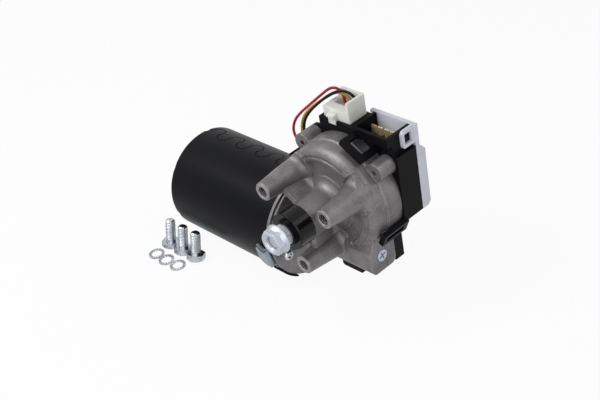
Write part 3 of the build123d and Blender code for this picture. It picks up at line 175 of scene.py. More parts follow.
# Which nodes take which finish
NODE_FINISH = {
    "cast_alloy": ("gear_housing",),
    "black_paint": ("motor_can", "can_end_plate"),
    "fluted_steel": ("output_shaft",),
    "steel": (
        "armature_shaft", "shaft_washer", "retaining_clip", "thrust_pad",
        "magnet_springs", "motor_bearing", "brush_springs"),
    "zinc_steel": ("crank_nut", "can_clip", "thrust_screw", "cover_screws"),
    "bolt_zinc": ("mounting_bolts", "lock_washers", "flange_screws", "flange_washers"),
    "sintered_bronze": ("can_bush", "worm_bush", "front_bush", "rear_bush"),
    "ferrite": ("magnets",),
    "core_steel": ("armature_core",),
    "copper": ("armature_winding", "commutator"),
    "brown_board": ("brush_plate",),
    "carbon": ("brushes",),
    "black_rubber": ("lead_grommet", "shaft_seal", "cover_gasket"),
    "gloss_black": ("shaft_cap",),
    "gear_plastic": ("worm_gear",),
    "brass_strip": ("park_disc", "park_contacts", "terminals", "plug_pins"),
    "black_plastic": ("gear_cover",),
    "clear_plastic": ("rear_cover",),
    "white_plastic": ("motor_plug",),
}

# Mirror strengths of black plastic and rubber, of the can's paint, of the shaft's cap and of the
# leads, which keep them dark in a white studio
DARK_SPECULAR = 0.06
PAINT_SPECULAR = 0.08
CAP_SPECULAR = 0.18
LEAD_SPECULAR = 0.14

# Filled by finishes()
FINISHES = {}


class Term:
    """A value that varies over a surface; arithmetic on it adds Math nodes."""

    def __init__(self, shader, socket):
        self.shader = shader
        self.socket = socket

    def __add__(self, other):
        return self.shader.math("ADD", self, other)

    def __radd__(self, other):
        return self.shader.math("ADD", other, self)

    def __sub__(self, other):
        return self.shader.math("SUBTRACT", self, other)

    def __rsub__(self, other):
        return self.shader.math("SUBTRACT", other, self)

    def __mul__(self, other):
        return self.shader.math("MULTIPLY", self, other)

    def __rmul__(self, other):
        return self.shader.math("MULTIPLY", other, self)

    def __pow__(self, other):
        return self.shader.math("POWER", self, other)

    def __abs__(self):
        return self.shader.math("ABSOLUTE", self)

    def step_up(self, low, high):
        """0 below low, 1 above high and a smooth rise between."""
        settings = {"interpolation_type": "SMOOTHSTEP", "clamp": True}
        return self.shader.node("ShaderNodeMapRange", settings, {0: self, 1: low, 2: high})


class Shader:
    """The node tree of one material or world, filled through node()."""

    def __init__(self, name, library=None):
        self.owner = (bpy.data.materials if library is None else library).new(name)
        self.owner.use_nodes = True
        self.tree = self.owner.node_tree
        self.tree.nodes.clear()

    def node(self, kind, settings=None, values=None, output=0):
        """Adds a node: its settings first, then the values or links of its sockets."""
        made = self.tree.nodes.new(kind)
        for key, value in (settings or {}).items():
            setattr(made, key, value)
        for key, value in (values or {}).items():
            if isinstance(value, Term):
                self.tree.links.new(value.socket, made.inputs[key])
            elif hasattr(value, "__len__") and len(value) == 3 and made.inputs[key].type == "RGBA":
                made.inputs[key].default_value = (*value, 1.0)
            else:
                made.inputs[key].default_value = value
        return Term(self, made.outputs[output]) if len(made.outputs) else None

    def math(self, operation, *values):
        """A Math node on one or two values."""
        return self.node("ShaderNodeMath", {"operation": operation}, dict(enumerate(values)))

    def where(self):
        """Object coordinates."""
        return self.node("ShaderNodeTexCoord", output="Object")

    def noise(self, scale, detail=3.0, roughness=0.55, vector=None):
        """Soft noise from 0 to 1; scale counts features in a metre."""
        place = self.where() if vector is None else vector
        values = {"Vector": place, "Scale": scale, "Detail": detail, "Roughness": roughness}
        return self.node("ShaderNodeTexNoise", None, values, "Fac")

    def cells(self, scale):
        """Distance to the nearest of scattered points."""
        values = {"Vector": self.where(), "Scale": scale}
        return self.node("ShaderNodeTexVoronoi", None, values, "Distance")

    def axes(self):
        """Object X, Y and Z as three terms."""
        place = self.where()
        return [
            self.node("ShaderNodeSeparateXYZ", None, {0: place}, axis) for axis in "XYZ"]

    def stretched(self, factors):
        """Object coordinates scaled on each axis."""
        return self.node(
            "ShaderNodeMapping", {"vector_type": "POINT"},
            {"Vector": self.where(), "Scale": factors})

    def mix(self, share, first, second):
        """Goes from the first colour to the second as share goes from 0 to 1."""
        return self.node(
            "ShaderNodeMix", {"data_type": "RGBA"}, {0: share, 6: first, 7: second}, 2)

    def soft_edges(self, radius):
        """Normals as if every edge were rounded."""
        return self.node("ShaderNodeBevel", {"samples": 4}, {"Radius": radius})

    def edge_mask(self, rounded, gain):
        """0 on faces and up to 1 along edges."""
        flat = self.node("ShaderNodeNewGeometry", output="Normal")
        agree = self.node(
            "ShaderNodeVectorMath", {"operation": "DOT_PRODUCT"}, {0: rounded, 1: flat}, "Value")
        return ((1.0 - agree) * gain).step_up(0.0, 1.0)

    def bump(self, height, distance, strength=1.0, normal=None):
        """A Bump node's normal from a height that runs from 0 to 1 over a distance."""
        values = {"Height": height, "Distance": distance, "Strength": strength}
        if normal is not None:
            values["Normal"] = normal
        return self.node("ShaderNodeBump", None, values)

    def close(self, **values):
        """Ends the tree with a surface shader of the given sockets, and returns the material."""
        sockets = {key.replace("_", " "): value for key, value in values.items()}
        surface = self.node("ShaderNodeBsdfPrincipled", None, sockets)
        self.node("ShaderNodeOutputMaterial", None, {"Surface": surface})
        return self.owner


def scaled(colour, factor):
    """A colour made lighter or darker."""
    return tuple(min(1.0, part * factor) for part in colour)


def pillar_axis(angle):
    """X and Z of the pillar at an angle on the pillars' circle, in metres."""
    turn = np.radians(angle)
    return PILLAR_CIRCLE_R * MM * float(np.cos(turn)), PILLAR_CIRCLE_R * MM * float(np.sin(turn))


def ring_marks(x, z, rings, near, far):
    """1 on rings about Y, each an X, Z and radius, fading to 0 between two distances."""
    return sum(
        1.0 - abs(((x - side) ** 2.0 + (z - up) ** 2.0) ** 0.5 - radius).step_up(near, far)
        for side, up, radius in rings)


def cast_alloy_finish(colours):
    """Die-cast aluminium: sandy skin, soft blotches, edge wear and painted highlight, machined
    pillar tips.
    """
    s = Shader("cast_alloy")
    base = tuple(colours.casting)
    x, y, z = s.axes()
    blotch = s.noise(70.0, 4.0)
    sand = s.noise(1300.0, 3.0, 0.7)
    streak = s.noise(1.0, 3.0, 0.6, s.stretched((110.0, 26.0, 110.0)))
    pits = s.cells(800.0).step_up(0.0, 0.32)
    rounded = s.soft_edges(0.5 * MM)
    # Edges brightened in patches: partly wear, partly painted highlight
    bright_edges = s.edge_mask(rounded, 10.0) * s.noise(260.0, 2.0).step_up(0.15, 0.5)
    machined = 1.0 - y.step_up(0.1 * MM, 0.7 * MM)
    # Painted shade: the walls of the pillars' tapped holes are darkened beyond where the thread
    # starts
    bores = [(*pillar_axis(angle), PILLAR_BORE_R * MM) for angle in PILLAR_ANGLES]
    bore_shade = ring_marks(x, z, bores, 0.25 * MM, 0.4 * MM)
    bore_shade = bore_shade * y.step_up(PILLAR_THREAD_Y * MM, (PILLAR_THREAD_Y + 0.7) * MM)
    radius = (x * x + z * z) ** 0.5
    parting = 1.0 - abs(y - PARTING_Y * MM).step_up(0.10 * MM, 0.32 * MM)
    parting = parting * radius.step_up(PARTING_R * MM, (PARTING_R + 0.3) * MM)
    pins = [[part * MM for part in mark] for mark in EJECTOR_MARKS]
    marks = ring_marks(x, z, pins, 0.12 * MM, 0.36 * MM)
    marks = marks * (1.0 - y.step_up(EJECTOR_BACK_Y * MM, (EJECTOR_BACK_Y + 0.3) * MM))
    lines = (parting + marks).step_up(0.0, 1.0)
    colour = s.mix(blotch.step_up(0.35, 0.65), scaled(base, 0.62), scaled(base, 1.16))
    colour = s.mix(streak.step_up(0.45, 0.75) * 0.5, colour, scaled(base, 1.35))
    colour = s.mix(sand.step_up(0.35, 0.75) * 0.45, colour, scaled(base, 1.7))
    colour = s.mix((1.0 - pits) * 0.55, colour, scaled(base, 0.45))
    # Bright edges: wear and painted highlight
    colour = s.mix(bright_edges * 0.6, colour, scaled(base, 2.5))
    colour = s.mix(machined * 0.6, colour, scaled(base, 1.7))
    # Painted shade in the tapped holes
    colour = s.mix(bore_shade.step_up(0.0, 1.0) * 0.75, colour, scaled(base, 0.12))
    colour = s.mix(lines * 0.6, colour, scaled(base, 0.4))
    rough = 0.38 + sand * 0.2 - bright_edges * 0.12 - machined * 0.12
    height = sand * 0.6 + pits * 0.3 + s.noise(420.0, 2.0) * 0.6 - lines * 1.6
    normal = s.bump(height * (1.0 - machined * 0.8), 0.12 * MM, 0.9, rounded)
    return s.close(Base_Color=colour, Metallic=0.6, Roughness=rough, Normal=normal)


def can_paint_finish(colours):
    """Black dip paint on steel: faint orange peel, dust specks, rubbed edges."""
    s = Shader("black_paint")
    base = tuple(colours.paint)
    peel = s.noise(520.0, 2.0)
    broad = s.noise(45.0, 3.0)
    specks = s.noise(2600.0, 1.0).step_up(0.68, 0.76)
    rounded = s.soft_edges(0.35 * MM)
    rubbed = s.edge_mask(rounded, 4.0) * s.noise(300.0, 3.0).step_up(0.4, 0.7)
    colour = s.mix(broad, scaled(base, 0.8), scaled(base, 1.3))
    colour = s.mix(specks * 0.4, colour, scaled(base, 8.0))
    colour = s.mix(rubbed * 0.5, colour, scaled(base, 14.0))
    rough = 0.30 + broad * 0.1 + peel * 0.05 + specks * 0.2
    normal = s.bump(peel, 0.05 * MM, 0.6, rounded)
    return s.close(
        Base_Color=colour, Roughness=rough, Normal=normal, Specular_IOR_Level=PAINT_SPECULAR)


def metal_finish(name, base, rough, grain, tint=None, metallic=1.0, edge=0.25 * MM):
    """Plain metal with soft stains, fine grain and rounded, slightly brighter edges."""
    s = Shader(name)
    tint = scaled(base, 0.8) if tint is None else tint
    stain = s.noise(130.0, 4.0)
    fine = s.noise(grain, 3.0, 0.7)
    rounded = s.soft_edges(edge)
    bright_edges = s.edge_mask(rounded, 5.0)
    colour = s.mix(stain.step_up(0.35, 0.7), base, tint)
    colour = s.mix(bright_edges * 0.4, colour, scaled(base, 1.25))
    roughness = rough + fine * 0.12 + stain * 0.08
    normal = s.bump(fine, 0.03 * MM, 0.5, rounded)
    return s.close(Base_Color=colour, Metallic=metallic, Roughness=roughness, Normal=normal)


def fluted_finish():
    """Output shaft's steel, with painted shade in the flutes of the cone that the crank sits on.
    """
    s = Shader("fluted_steel")
    x, y, z = s.axes()
    turn = s.math("ARCTAN2", z, x)
    crests = abs(s.math("COSINE", turn * (FLUTES / 2)))
    shown = 1.0 - y.step_up((CONE_BACK_Y - 0.2) * MM, CONE_BACK_Y * MM)
    # Painted shade: the hollows of the flutes in front of the cap go almost black
    groove_shade = (1.0 - crests.step_up(0.2, 0.7)) * shown
    fine = s.noise(1800.0, 3.0, 0.7)
    colour = s.mix(s.noise(130.0, 4.0), (0.66, 0.68, 0.71), (0.52, 0.54, 0.57))
    colour = s.mix(groove_shade * 0.85, colour, (0.08, 0.08, 0.085))
    normal = s.bump(fine, 0.03 * MM, 0.5)
    return s.close(Base_Color=colour, Metallic=0.6, Roughness=0.3 + fine * 0.1, Normal=normal)


def plastic_finish(name, base, rough, grain=1400.0, depth=0.05, specular=0.5):
    """Moulded plastic: fine spark grain, cloudy sheen and paler handled edges."""
    s = Shader(name)
    cloud = s.noise(60.0, 3.0)
    fine = s.noise(grain, 2.0, 0.6)
    rounded = s.soft_edges(0.3 * MM)
    bright_edges = s.edge_mask(rounded, 3.0) * cloud
    colour = s.mix(cloud, scaled(base, 0.85), scaled(base, 1.2))
    colour = s.mix(bright_edges * 0.35, colour, scaled(base, 3.0))
    roughness = rough + fine * 0.12 + cloud * 0.08
    normal = s.bump(fine, depth * MM, 0.6, rounded)
    return s.close(
        Base_Color=colour, Roughness=roughness, Normal=normal, Specular_IOR_Level=specular)


def lid_finish(colours):
    """Frosted lavender plastic that lets some light through."""
    s = Shader("clear_plastic")
    base = tuple(colours.lid)
    cloud = s.noise(80.0, 3.0)
    fine = s.noise(1800.0, 2.0)
    rounded = s.soft_edges(0.4 * MM)
    colour = s.mix(cloud, scaled(base, 0.94), scaled(base, 1.06))
    rough = 0.3 + fine * 0.12 + cloud * 0.1
    normal = s.bump(fine, 0.02 * MM, 0.5, rounded)
    return s.close(
        Base_Color=colour, Roughness=rough, Normal=normal, Transmission_Weight=0.3, IOR=1.45)


def milky_finish(colours):
    """Unpainted white nylon with a little light inside it."""
    s = Shader("white_plastic")
    base = tuple(colours.plug)
    cloud = s.noise(150.0, 3.0)
    fine = s.noise(2200.0, 2.0)
    rounded = s.soft_edges(0.3 * MM)
    colour = s.mix(cloud, scaled(base, 0.93), scaled(base, 1.04))
    rough = 0.36 + fine * 0.12
    normal = s.bump(fine, 0.02 * MM, 0.5, rounded)
    return s.close(
        Base_Color=colour, Roughness=rough, Normal=normal, Subsurface_Weight=0.6,
        Subsurface_Radius=(1.0, 0.95, 0.85), Subsurface_Scale=3.0 * MM)


def laminated_finish():
    """Stack of thin steel sheets: fine lines across the motor's axis."""
    s = Shader("core_steel")
    along_x = s.axes()[0]
    sheets = abs(s.math("SINE", along_x * (np.pi / (CORE_SHEET * MM))))
    rust = s.noise(200.0, 4.0).step_up(0.5, 0.75)
    colour = s.mix(sheets, (0.10, 0.10, 0.10), (0.30, 0.29, 0.28))
    colour = s.mix(rust * 0.4, colour, (0.22, 0.12, 0.07))
    normal = s.bump(sheets, 0.05 * MM, 0.8)
    return s.close(Base_Color=colour, Metallic=0.8, Roughness=0.4 + rust * 0.2, Normal=normal)


def copper_finish():
    """Enamelled copper wire wound round the axis, seen as fine bands."""
    s = Shader("copper")
    x, y, z = s.axes()
    lean = s.noise(90.0, 2.0) * 0.9
    bands = abs(s.math("SINE", (x + y + z) * (np.pi / (WINDING_WIRE * MM)) + lean))
    colour = s.mix(bands, (0.26, 0.09, 0.035), (0.72, 0.34, 0.17))
    normal = s.bump(bands, 0.2 * MM, 0.8)
    return s.close(Base_Color=colour, Metallic=0.85, Roughness=0.26 + bands * 0.1, Normal=normal)


def rough_finish(name, base, rough, scale, depth):
    """Dull material with grains: ferrite, carbon, board or rubber."""
    s = Shader(name)
    grains = s.noise(scale, 4.0, 0.7)
    broad = s.noise(scale / 12, 3.0)
    colour = s.mix(grains, scaled(base, 0.7), scaled(base, 1.35))
    colour = s.mix(broad * 0.3, colour, scaled(base, 1.5))
    normal = s.bump(grains, depth * MM, 0.7)
    return s.close(
        Base_Color=colour, Roughness=rough + grains * 0.15, Normal=normal,
        Specular_IOR_Level=DARK_SPECULAR)


def insulation_finish(name, base):
    """Lead insulation: satin vinyl with a faint dusting."""
    s = Shader(name)
    dust = s.noise(700.0, 3.0)
    broad = s.noise(120.0, 2.0)
    colour = s.mix(broad, scaled(base, 0.8), scaled(base, 1.15))
    normal = s.bump(dust, 0.02 * MM, 0.5)
    return s.close(
        Base_Color=colour, Roughness=0.34 + dust * 0.16, Normal=normal,
        Specular_IOR_Level=LEAD_SPECULAR)


def finishes():
    """Every finish by its name, made once: most are the record's slots."""
    if not FINISHES:
        colours = bpy.context.scene.motor_colours
        FINISHES.update({
            "cast_alloy": cast_alloy_finish(colours),
            "black_paint": can_paint_finish(colours),
            "steel": metal_finish("steel", (0.34, 0.34, 0.35), 0.24, 1800.0),
            "fluted_steel": fluted_finish(),
            "bolt_zinc": metal_finish(
                "bolt_zinc", (0.54, 0.565, 0.59), 0.13, 2400.0, tint=(0.34, 0.37, 0.40),
                edge=0.15 * MM),
            # Painted shade: a darker, bluer copy of the zinc plating for the rim clip, which lies
            # in shade
            "clip_zinc": metal_finish(
                "clip_zinc", (0.28, 0.32, 0.36), 0.3, 1500.0, tint=(0.22, 0.27, 0.32),
                metallic=0.6),
            "zinc_steel": metal_finish(
                "zinc_steel", tuple(colours.zinc), 0.34, 1500.0, tint=(0.44, 0.48, 0.56),
                metallic=0.8),
            "sintered_bronze": metal_finish("sintered_bronze", (0.44, 0.30, 0.16), 0.45, 1200.0),
            "ferrite": rough_finish("ferrite", (0.05, 0.05, 0.052), 0.6, 900.0, 0.06),
            "core_steel": laminated_finish(),
            "copper": copper_finish(),
            "brown_board": rough_finish("brown_board", (0.20, 0.10, 0.045), 0.5, 600.0, 0.05),
            "carbon": rough_finish("carbon", (0.03, 0.03, 0.032), 0.5, 1600.0, 0.04),
            "black_rubber": rough_finish(
                "black_rubber", (0.010, 0.010, 0.011), 0.55, 800.0, 0.05),
            "gloss_black": plastic_finish(
                "gloss_black", (0.005, 0.005, 0.0056), 0.05, 900.0, 0.008, CAP_SPECULAR),
            "gear_plastic": plastic_finish("gear_plastic", (0.72, 0.70, 0.60), 0.35),
            "brass_strip": metal_finish(
                "brass_strip", tuple(colours.brass), 0.22, 1600.0, metallic=0.5),
            "black_plastic": plastic_finish(
                "black_plastic", tuple(colours.cover), 0.34, specular=DARK_SPECULAR),
            "clear_plastic": lid_finish(colours),
            "white_plastic": milky_finish(colours),
            "red_lead": insulation_finish("red_lead", (0.46, 0.018, 0.024)),
            "yellow_lead": insulation_finish("yellow_lead", (0.50, 0.32, 0.08)),
            "black_lead": insulation_finish("black_lead", (0.006, 0.0055, 0.0055)),
        })
    return FINISHES


def dress(finish):
    """Gives the nodes of a finish their material."""
    material = finishes()[finish]
    for name in NODE_FINISH[finish]:
        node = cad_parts[name]
        if not node.material_slots:
            node.data.materials.append(material)
        for place in node.material_slots:
            place.material = material


def grid_faces(rows, columns, close_rows):
    """Quads of a grid whose columns always close on themselves, and whose rows may too."""
    row = np.arange(rows if close_rows else rows - 1)[:, None]
    column = np.arange(columns)[None, :]
    next_row = (row + 1) % rows
    next_column = (column + 1) % columns
    quads = np.stack([
        row * columns + column, row * columns + next_column,
        next_row * columns + next_column, next_row * columns + column], axis=-1)
    return quads.reshape(-1, 4).tolist()


def rod_faces(rows, columns):
    """Quads of a rod's grid, and the polygon that closes each of its ends."""
    last = (rows - 1) * columns
    ends = [list(range(columns))[::-1], list(range(last, last + columns))]
    return grid_faces(rows, columns, False) + ends


def helical_ridge(radius, crest, pitch, turns):
    """Points and faces of a closed screw ridge about +Z, starting at z 0.

    With t from 0 to turns, the ridge's middle is at angle 2 pi t and height pitch t. Its section
    is a ring of five points, whose outer two are sunk in the wall. Each stands off the radius by
    its share of the crest's height, and off the middle by its share of the half width, both times
    h(t). h(t) grows from 0 to 1 at the start and falls again at the end, so both ends run out on
    the wall.
    """
    count = int(turns * RIDGE_STEPS) + 1
    t = np.linspace(0.0, turns, count)[:, None]
    grow = np.clip(np.minimum(t, turns - t) / RIDGE_GROWTH, 0.0, 1.0)
    reach = radius + (crest - radius) * np.array(RIDGE_OUT) * grow
    angle = 2 * np.pi * t
    z = pitch * t + pitch * RIDGE_HALF_WIDTH * np.array(RIDGE_ALONG) * np.maximum(grow, RIDGE_END)
    points = np.stack([reach * np.cos(angle), reach * np.sin(angle), z], axis=-1)
    return points.reshape(-1, 3), rod_faces(count, len(RIDGE_OUT))


def in_scene(name, data):
    """A new object of the scene with this data."""
    made = bpy.data.objects.new(name, data)
    bpy.context.scene.collection.objects.link(made)
    return made


def joined_piece(name, parts, slot, body, finish=None):
    """Closed surfaces, each of points and faces, joined into one piece with faces outwards.

    It has the finish of its slot, or another one that is named.
    """
    every = []
    faces = []
    start = 0
    for points, quads in parts:
        every.append(points)
        faces.extend([[index + start for index in quad] for quad in quads])
        start += len(points)
    mesh = bpy.data.meshes.new(name)
    mesh.from_pydata(np.concatenate(every).tolist(), [], faces)
    mesh.update()
    work = bmesh.new()
    work.from_mesh(mesh)
    bmesh.ops.recalc_face_normals(work, faces=work.faces)
    work.to_mesh(mesh)
    work.free()
    mesh.shade_smooth()
    mesh.materials.append(finishes()[finish or slot])
    piece = in_scene(name, mesh)
    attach(piece, body)
    return piece


def sharpen(piece):
    """Shades a piece smooth but for its sharp edges."""
    mesh = piece.data
    work = bmesh.new()
    work.from_mesh(mesh)
    for edge in work.edges:
        edge.smooth = edge.calc_face_angle(0.0) < SHARP_ANGLE
    work.to_mesh(mesh)
    work.free()


def crank_nut_points(sizes):
    """The flanged nut, as a profile turned about the shaft and cut to a hexagon.

    The profile gives radius p(s) and depth y(s) on a closed line. Round the shaft by angle a the
    radius is the smaller of p(s) and the hexagon's own, flats / 2 over the cosine of a's distance
    from the middle of its flat. In the bore a ridge stands towards the axis: its height goes up
    and down once for each thread pitch of depth less the turn a / 2 pi, so it winds as a thread.
    """
    corner = sizes.nut_flats / np.sqrt(3)
    bore = sizes.nut_bore
    back = NUT_BACK_Y * MM
    front = back - sizes.nut_height
    edge = np.array(NUT_EDGE) * MM + (sizes.nut_flange_radius, back)
    foot = np.array(NUT_FOOT) * MM + (corner, back - NUT_FLANGE_H * MM)
    chamfer = np.linspace(0.0, 1.0, NUT_CHAMFER_STEPS)
    radii = np.concatenate([
        [bore], edge[:, 0], foot[:, 0],
        corner - (corner - sizes.nut_flats / 2 + NUT_FACE_INSET * MM) * chamfer,
        [bore + NUT_CHAMFER * MM], np.full(NUT_THREAD_STEPS, bore)])
    depths = np.concatenate([
        [back], edge[:, 1], foot[:, 1],
        front + NUT_CHAMFER * MM * (1.0 - chamfer),
        [front],
        np.linspace(front + NUT_CHAMFER * MM, NUT_SHAFT_END_Y * MM, NUT_THREAD_STEPS)])
    turns = np.arange(NUT_STEPS) / NUT_STEPS * 2 * np.pi
    flat = np.mod(turns - np.radians(NUT_CORNER_ANGLE), np.pi / 3) - np.pi / 6
    hexagon = sizes.nut_flats / 2 / np.cos(flat)
    reach = np.broadcast_to(radii[:, None], (len(radii), len(turns))).copy()
    hexed = slice(len(edge) + 2, 1 + len(edge) + len(foot) + len(chamfer))
    reach[hexed] = np.minimum(reach[hexed], hexagon[None, :])
    phase = depths[:, None] / sizes.thread_pitch - turns[None, :] / (2 * np.pi)
    ridge = np.abs(np.mod(phase, 1.0) - 0.5) * 2 * NUT_THREAD_H * MM
    reach[-NUT_THREAD_STEPS:] -= ridge[-NUT_THREAD_STEPS:]
    y = np.broadcast_to(depths[:, None], reach.shape)
    points = np.stack([reach * np.cos(turns), y, reach * np.sin(turns)], axis=-1)
    return points.reshape(-1, 3), grid_faces(len(radii), len(turns), True)


def rim_clip_points(sizes):
    """The zinc clip: a sheet that stands off the can, with a leg along its upper edge.

    u goes from 0 at the can's end to 1 at the flange. The section lies in radius r from the
    motor's axis and arc length s down the can's side. The upper edge dips by the scoop times a
    share, which is the squared sine of a half turn of u less half of u's fourth power. The lower
    edge is at the clip's height where it is deepest. It rises from there with the square of the
    distance towards the can's end, and with its fourth power towards the flange. The sheet's
    inner radius is its seat and a small gap, plus the bulge times 1 less u's eighth power. The
    leg goes in from the sheet to the seat, with a groove below its rim.
    """
    u = np.linspace(0.0, 1.0, CLIP_ROWS)[:, None]
    top = sizes.clip_scoop * (np.sin(np.pi * u) ** 2 - 0.5 * u ** 4)
    away = np.where(u < CLIP_DEEP_U, (CLIP_DEEP_U - u) / CLIP_DEEP_U, 0.0)
    back = np.where(u < CLIP_DEEP_U, 0.0, (u - CLIP_DEEP_U) / (1 - CLIP_DEEP_U))
    low = sizes.clip_height * (1 - CLIP_RISE[0] * away ** 2 - CLIP_RISE[1] * back ** 4)
    x = (CLIP_X[0] + (CLIP_X[1] - CLIP_X[0]) * u) * MM
    seat = np.where(x < CLIP_STEP_X * MM, CLIP_SEAT_R[0], CLIP_SEAT_R[1]) * MM
    hem = CLIP_HEM * MM
    leg = sizes.clip_thickness
    inner = seat + hem + sizes.clip_bulge * (1 - u ** 8)
    outer = inner + sizes.clip_thickness
    rim = inner + hem
    groove = seat + hem
    radii = np.concatenate([
        seat, rim, rim, groove, groove, outer - hem, outer, outer, outer - hem, inner, inner,
        seat], axis=1)
    arcs = np.concatenate([
        top, top, top + leg / 2, top + leg / 2, top + leg * 1.5, top + leg * 1.5,
        top + leg * 1.5 + hem, low - hem, low, low, top + leg * 2.5, top + leg * 2.5], axis=1)
    angle = np.radians(CLIP_TOP_ANGLE) + arcs / (CLIP_SEAT_R[1] * MM)
    points = np.stack([
        np.broadcast_to(x, radii.shape), MOTOR_Y * MM + radii * np.cos(angle),
        MOTOR_Z * MM + radii * np.sin(angle)], axis=-1)
    return points.reshape(-1, 3), rod_faces(*radii.shape)


def pillar_thread_points(sizes, angle):
    """A tapped thread inside one pillar: a screw ridge turned from +Z to the pillar's +Y."""
    points, faces = helical_ridge(
        sizes.pillar_bore, sizes.pillar_bore - sizes.thread_height, sizes.thread_pitch,
        sizes.pillar_turns)
    side, up = pillar_axis(angle)
    placed = np.stack([
        side + points[:, 0], PILLAR_THREAD_Y * MM + points[:, 2], up + points[:, 1]], axis=1)
    return placed, faces


def bolt_thread_points(sizes, place):
    """The thread of one loose bolt: a screw ridge turned about X by the lean.

    The bolt stands on one edge of its head, so the middle of the head's foot is above the floor
    by half its width times the sine of the lean.
    """
    turns = (BOLT_SHANK - BOLT_PLAIN) * MM / sizes.thread_pitch
    points, faces = helical_ridge(
        sizes.bolt_shank, sizes.bolt_shank + sizes.bolt_ridge, sizes.thread_pitch, turns)
    along = points[:, 2] + (BOLT_HEAD_H + BOLT_THREAD_START) * MM
    foot = FLOOR_Z + BOLT_HEAD_HALF * np.sin(BOLT_LEAN)
    placed = np.stack([
        place[0] * MM + points[:, 0],
        place[1] * MM + points[:, 1] * np.cos(BOLT_LEAN) + along * np.sin(BOLT_LEAN),
        foot * MM - points[:, 1] * np.sin(BOLT_LEAN) + along * np.cos(BOLT_LEAN)], axis=1)
    return placed, faces


def lead_piece(name, slot, radius):
    """One lead as a smooth curve through its bends, in place of its plain node."""
    curve = bpy.data.curves.new(name + "_line", "CURVE")
    curve.dimensions = "3D"
    curve.resolution_u = 10
    curve.bevel_depth = radius
    curve.bevel_resolution = 5
    curve.use_fill_caps = True
    points = LEAD_POINTS[name]
    line = curve.splines.new("NURBS")
    line.points.add(len(points) - 1)
    for place, point in zip(line.points, points):
        place.co = (point[0] * MM, point[1] * MM, point[2] * MM, 1.0)
    line.order_u = 3
    line.use_endpoint_u = True
    curve.materials.append(finishes()[slot])
    piece = in_scene(name + "_dressed", curve)
    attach(piece, "body")
    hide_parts(name)
    return piece


def world_matrix(side, up, back, place):
    """Matrix of a lamp or camera from its three axes and its place."""
    rows = np.stack([side, up, back, place], axis=1).tolist()
    return Matrix([*rows, [0.0, 0.0, 0.0, 1.0]])


def lamp(name, place, side, power):
    """A soft square lamp that looks at the motor, with its sides level."""
    data = bpy.data.lights.new(name, "AREA")
    data.shape = "SQUARE"
    data.size = side
    data.energy = power
    back = np.array(place) - np.array(LAMP_AIM)
    back = back / np.linalg.norm(back)
    right = np.cross((0.0, 0.0, 1.0), back)
    right = right / np.linalg.norm(right)
    in_scene(name, data).matrix_world = world_matrix(right, np.cross(back, right), back, place)


def photo_camera():
    """The camera of the photograph's view."""
    data = bpy.data.cameras.new("photo_view")
    data.sensor_width = VIEW_SENSOR
    data.lens = VIEW_LENS
    data.clip_start, data.clip_end = VIEW_REACH
    right, down, forward = np.array(VIEW_ROWS)
    made = in_scene("photo_view", data)
    made.matrix_world = world_matrix(right, -down, -forward, VIEW_PLACE)
    return made


def shown_rays(s):
    """1 for rays that show the background: camera, mirror and see-through rays."""
    camera, mirror, through = (
        s.node("ShaderNodeLightPath", output=output)
        for output in ("Is Camera Ray", "Is Glossy Ray", "Is Transmission Ray"))
    return s.math("MAXIMUM", s.math("MAXIMUM", camera, mirror), through)


def floor_material(colours):
    """Pale floor: white to the camera, with part of its light left so that the shadow shows."""
    s = Shader("studio_floor")
    lit = s.node("ShaderNodeBsdfDiffuse", None, {"Color": tuple(colours.floor)})
    white = s.node("ShaderNodeEmission", None, {"Color": (1.0, 1.0, 1.0), "Strength": 1.0})
    share = shown_rays(s) * FLOOR_WHITE
    both = s.node("ShaderNodeMixShader", None, {0: share, 1: lit, 2: white})
    s.node("ShaderNodeOutputMaterial", None, {"Surface": both})
    return s.owner


def studio_floor(colours, half):
    """A level square that the can lies on."""
    mesh = bpy.data.meshes.new("studio_floor")
    corners = [
        (x * half, y * half, FLOOR_Z * MM) for x, y in ((-1, -1), (1, -1), (1, 1), (-1, 1))]
    mesh.from_pydata(corners, [], [(0, 1, 2, 3)])
    mesh.materials.append(floor_material(colours))
    return in_scene("studio_floor", mesh)


def build_world(ambient):
    """White backdrop for what the camera sees, gentler light for the rest."""
    s = Shader("studio_light", bpy.data.worlds)
    strength = ambient + shown_rays(s) * (1.0 - ambient)
    sky = s.node(
        "ShaderNodeBackground", None, {"Color": (1.0, 1.0, 1.0), "Strength": strength})
    s.node("ShaderNodeOutputWorld", None, {"Surface": sky})
    bpy.context.scene.world = s.owner


class MotorColours(bpy.types.PropertyGroup):
    """Colours of the finishes that show most."""

    casting: FloatVectorProperty(
        name="Casting", description="Die-cast aluminium", subtype="COLOR",
        default=(0.170, 0.162, 0.163), min=0.0, max=1.0)
    paint: FloatVectorProperty(
        name="Can paint", description="Black paint of the motor's can", subtype="COLOR",
        default=(0.0024, 0.0026, 0.0042), min=0.0, max=1.0)
    cover: FloatVectorProperty(
        name="Cover", description="Black plastic of the gear cover", subtype="COLOR",
        default=(0.0045, 0.0045, 0.0056), min=0.0, max=1.0)
    lid: FloatVectorProperty(
        name="Lid", description="Frosted lid of the contact chamber", subtype="COLOR",
        default=(0.82, 0.84, 0.92), min=0.0, max=1.0)
    plug: FloatVectorProperty(
        name="Plug", description="White plug of the leads", subtype="COLOR",
        default=(0.76, 0.77, 0.735), min=0.0, max=1.0)
    zinc: FloatVectorProperty(
        name="Zinc", description="Zinc plating of the crank nut and inner screws", subtype="COLOR",
        default=(0.49, 0.525, 0.58), min=0.0, max=1.0)
    brass: FloatVectorProperty(
        name="Brass", description="Contact strips and blades", subtype="COLOR",
        default=(0.85, 0.66, 0.34), min=0.0, max=1.0)
    floor: FloatVectorProperty(
        name="Floor", description="Studio floor", subtype="COLOR",
        default=(0.90, 0.90, 0.90), min=0.0, max=1.0)


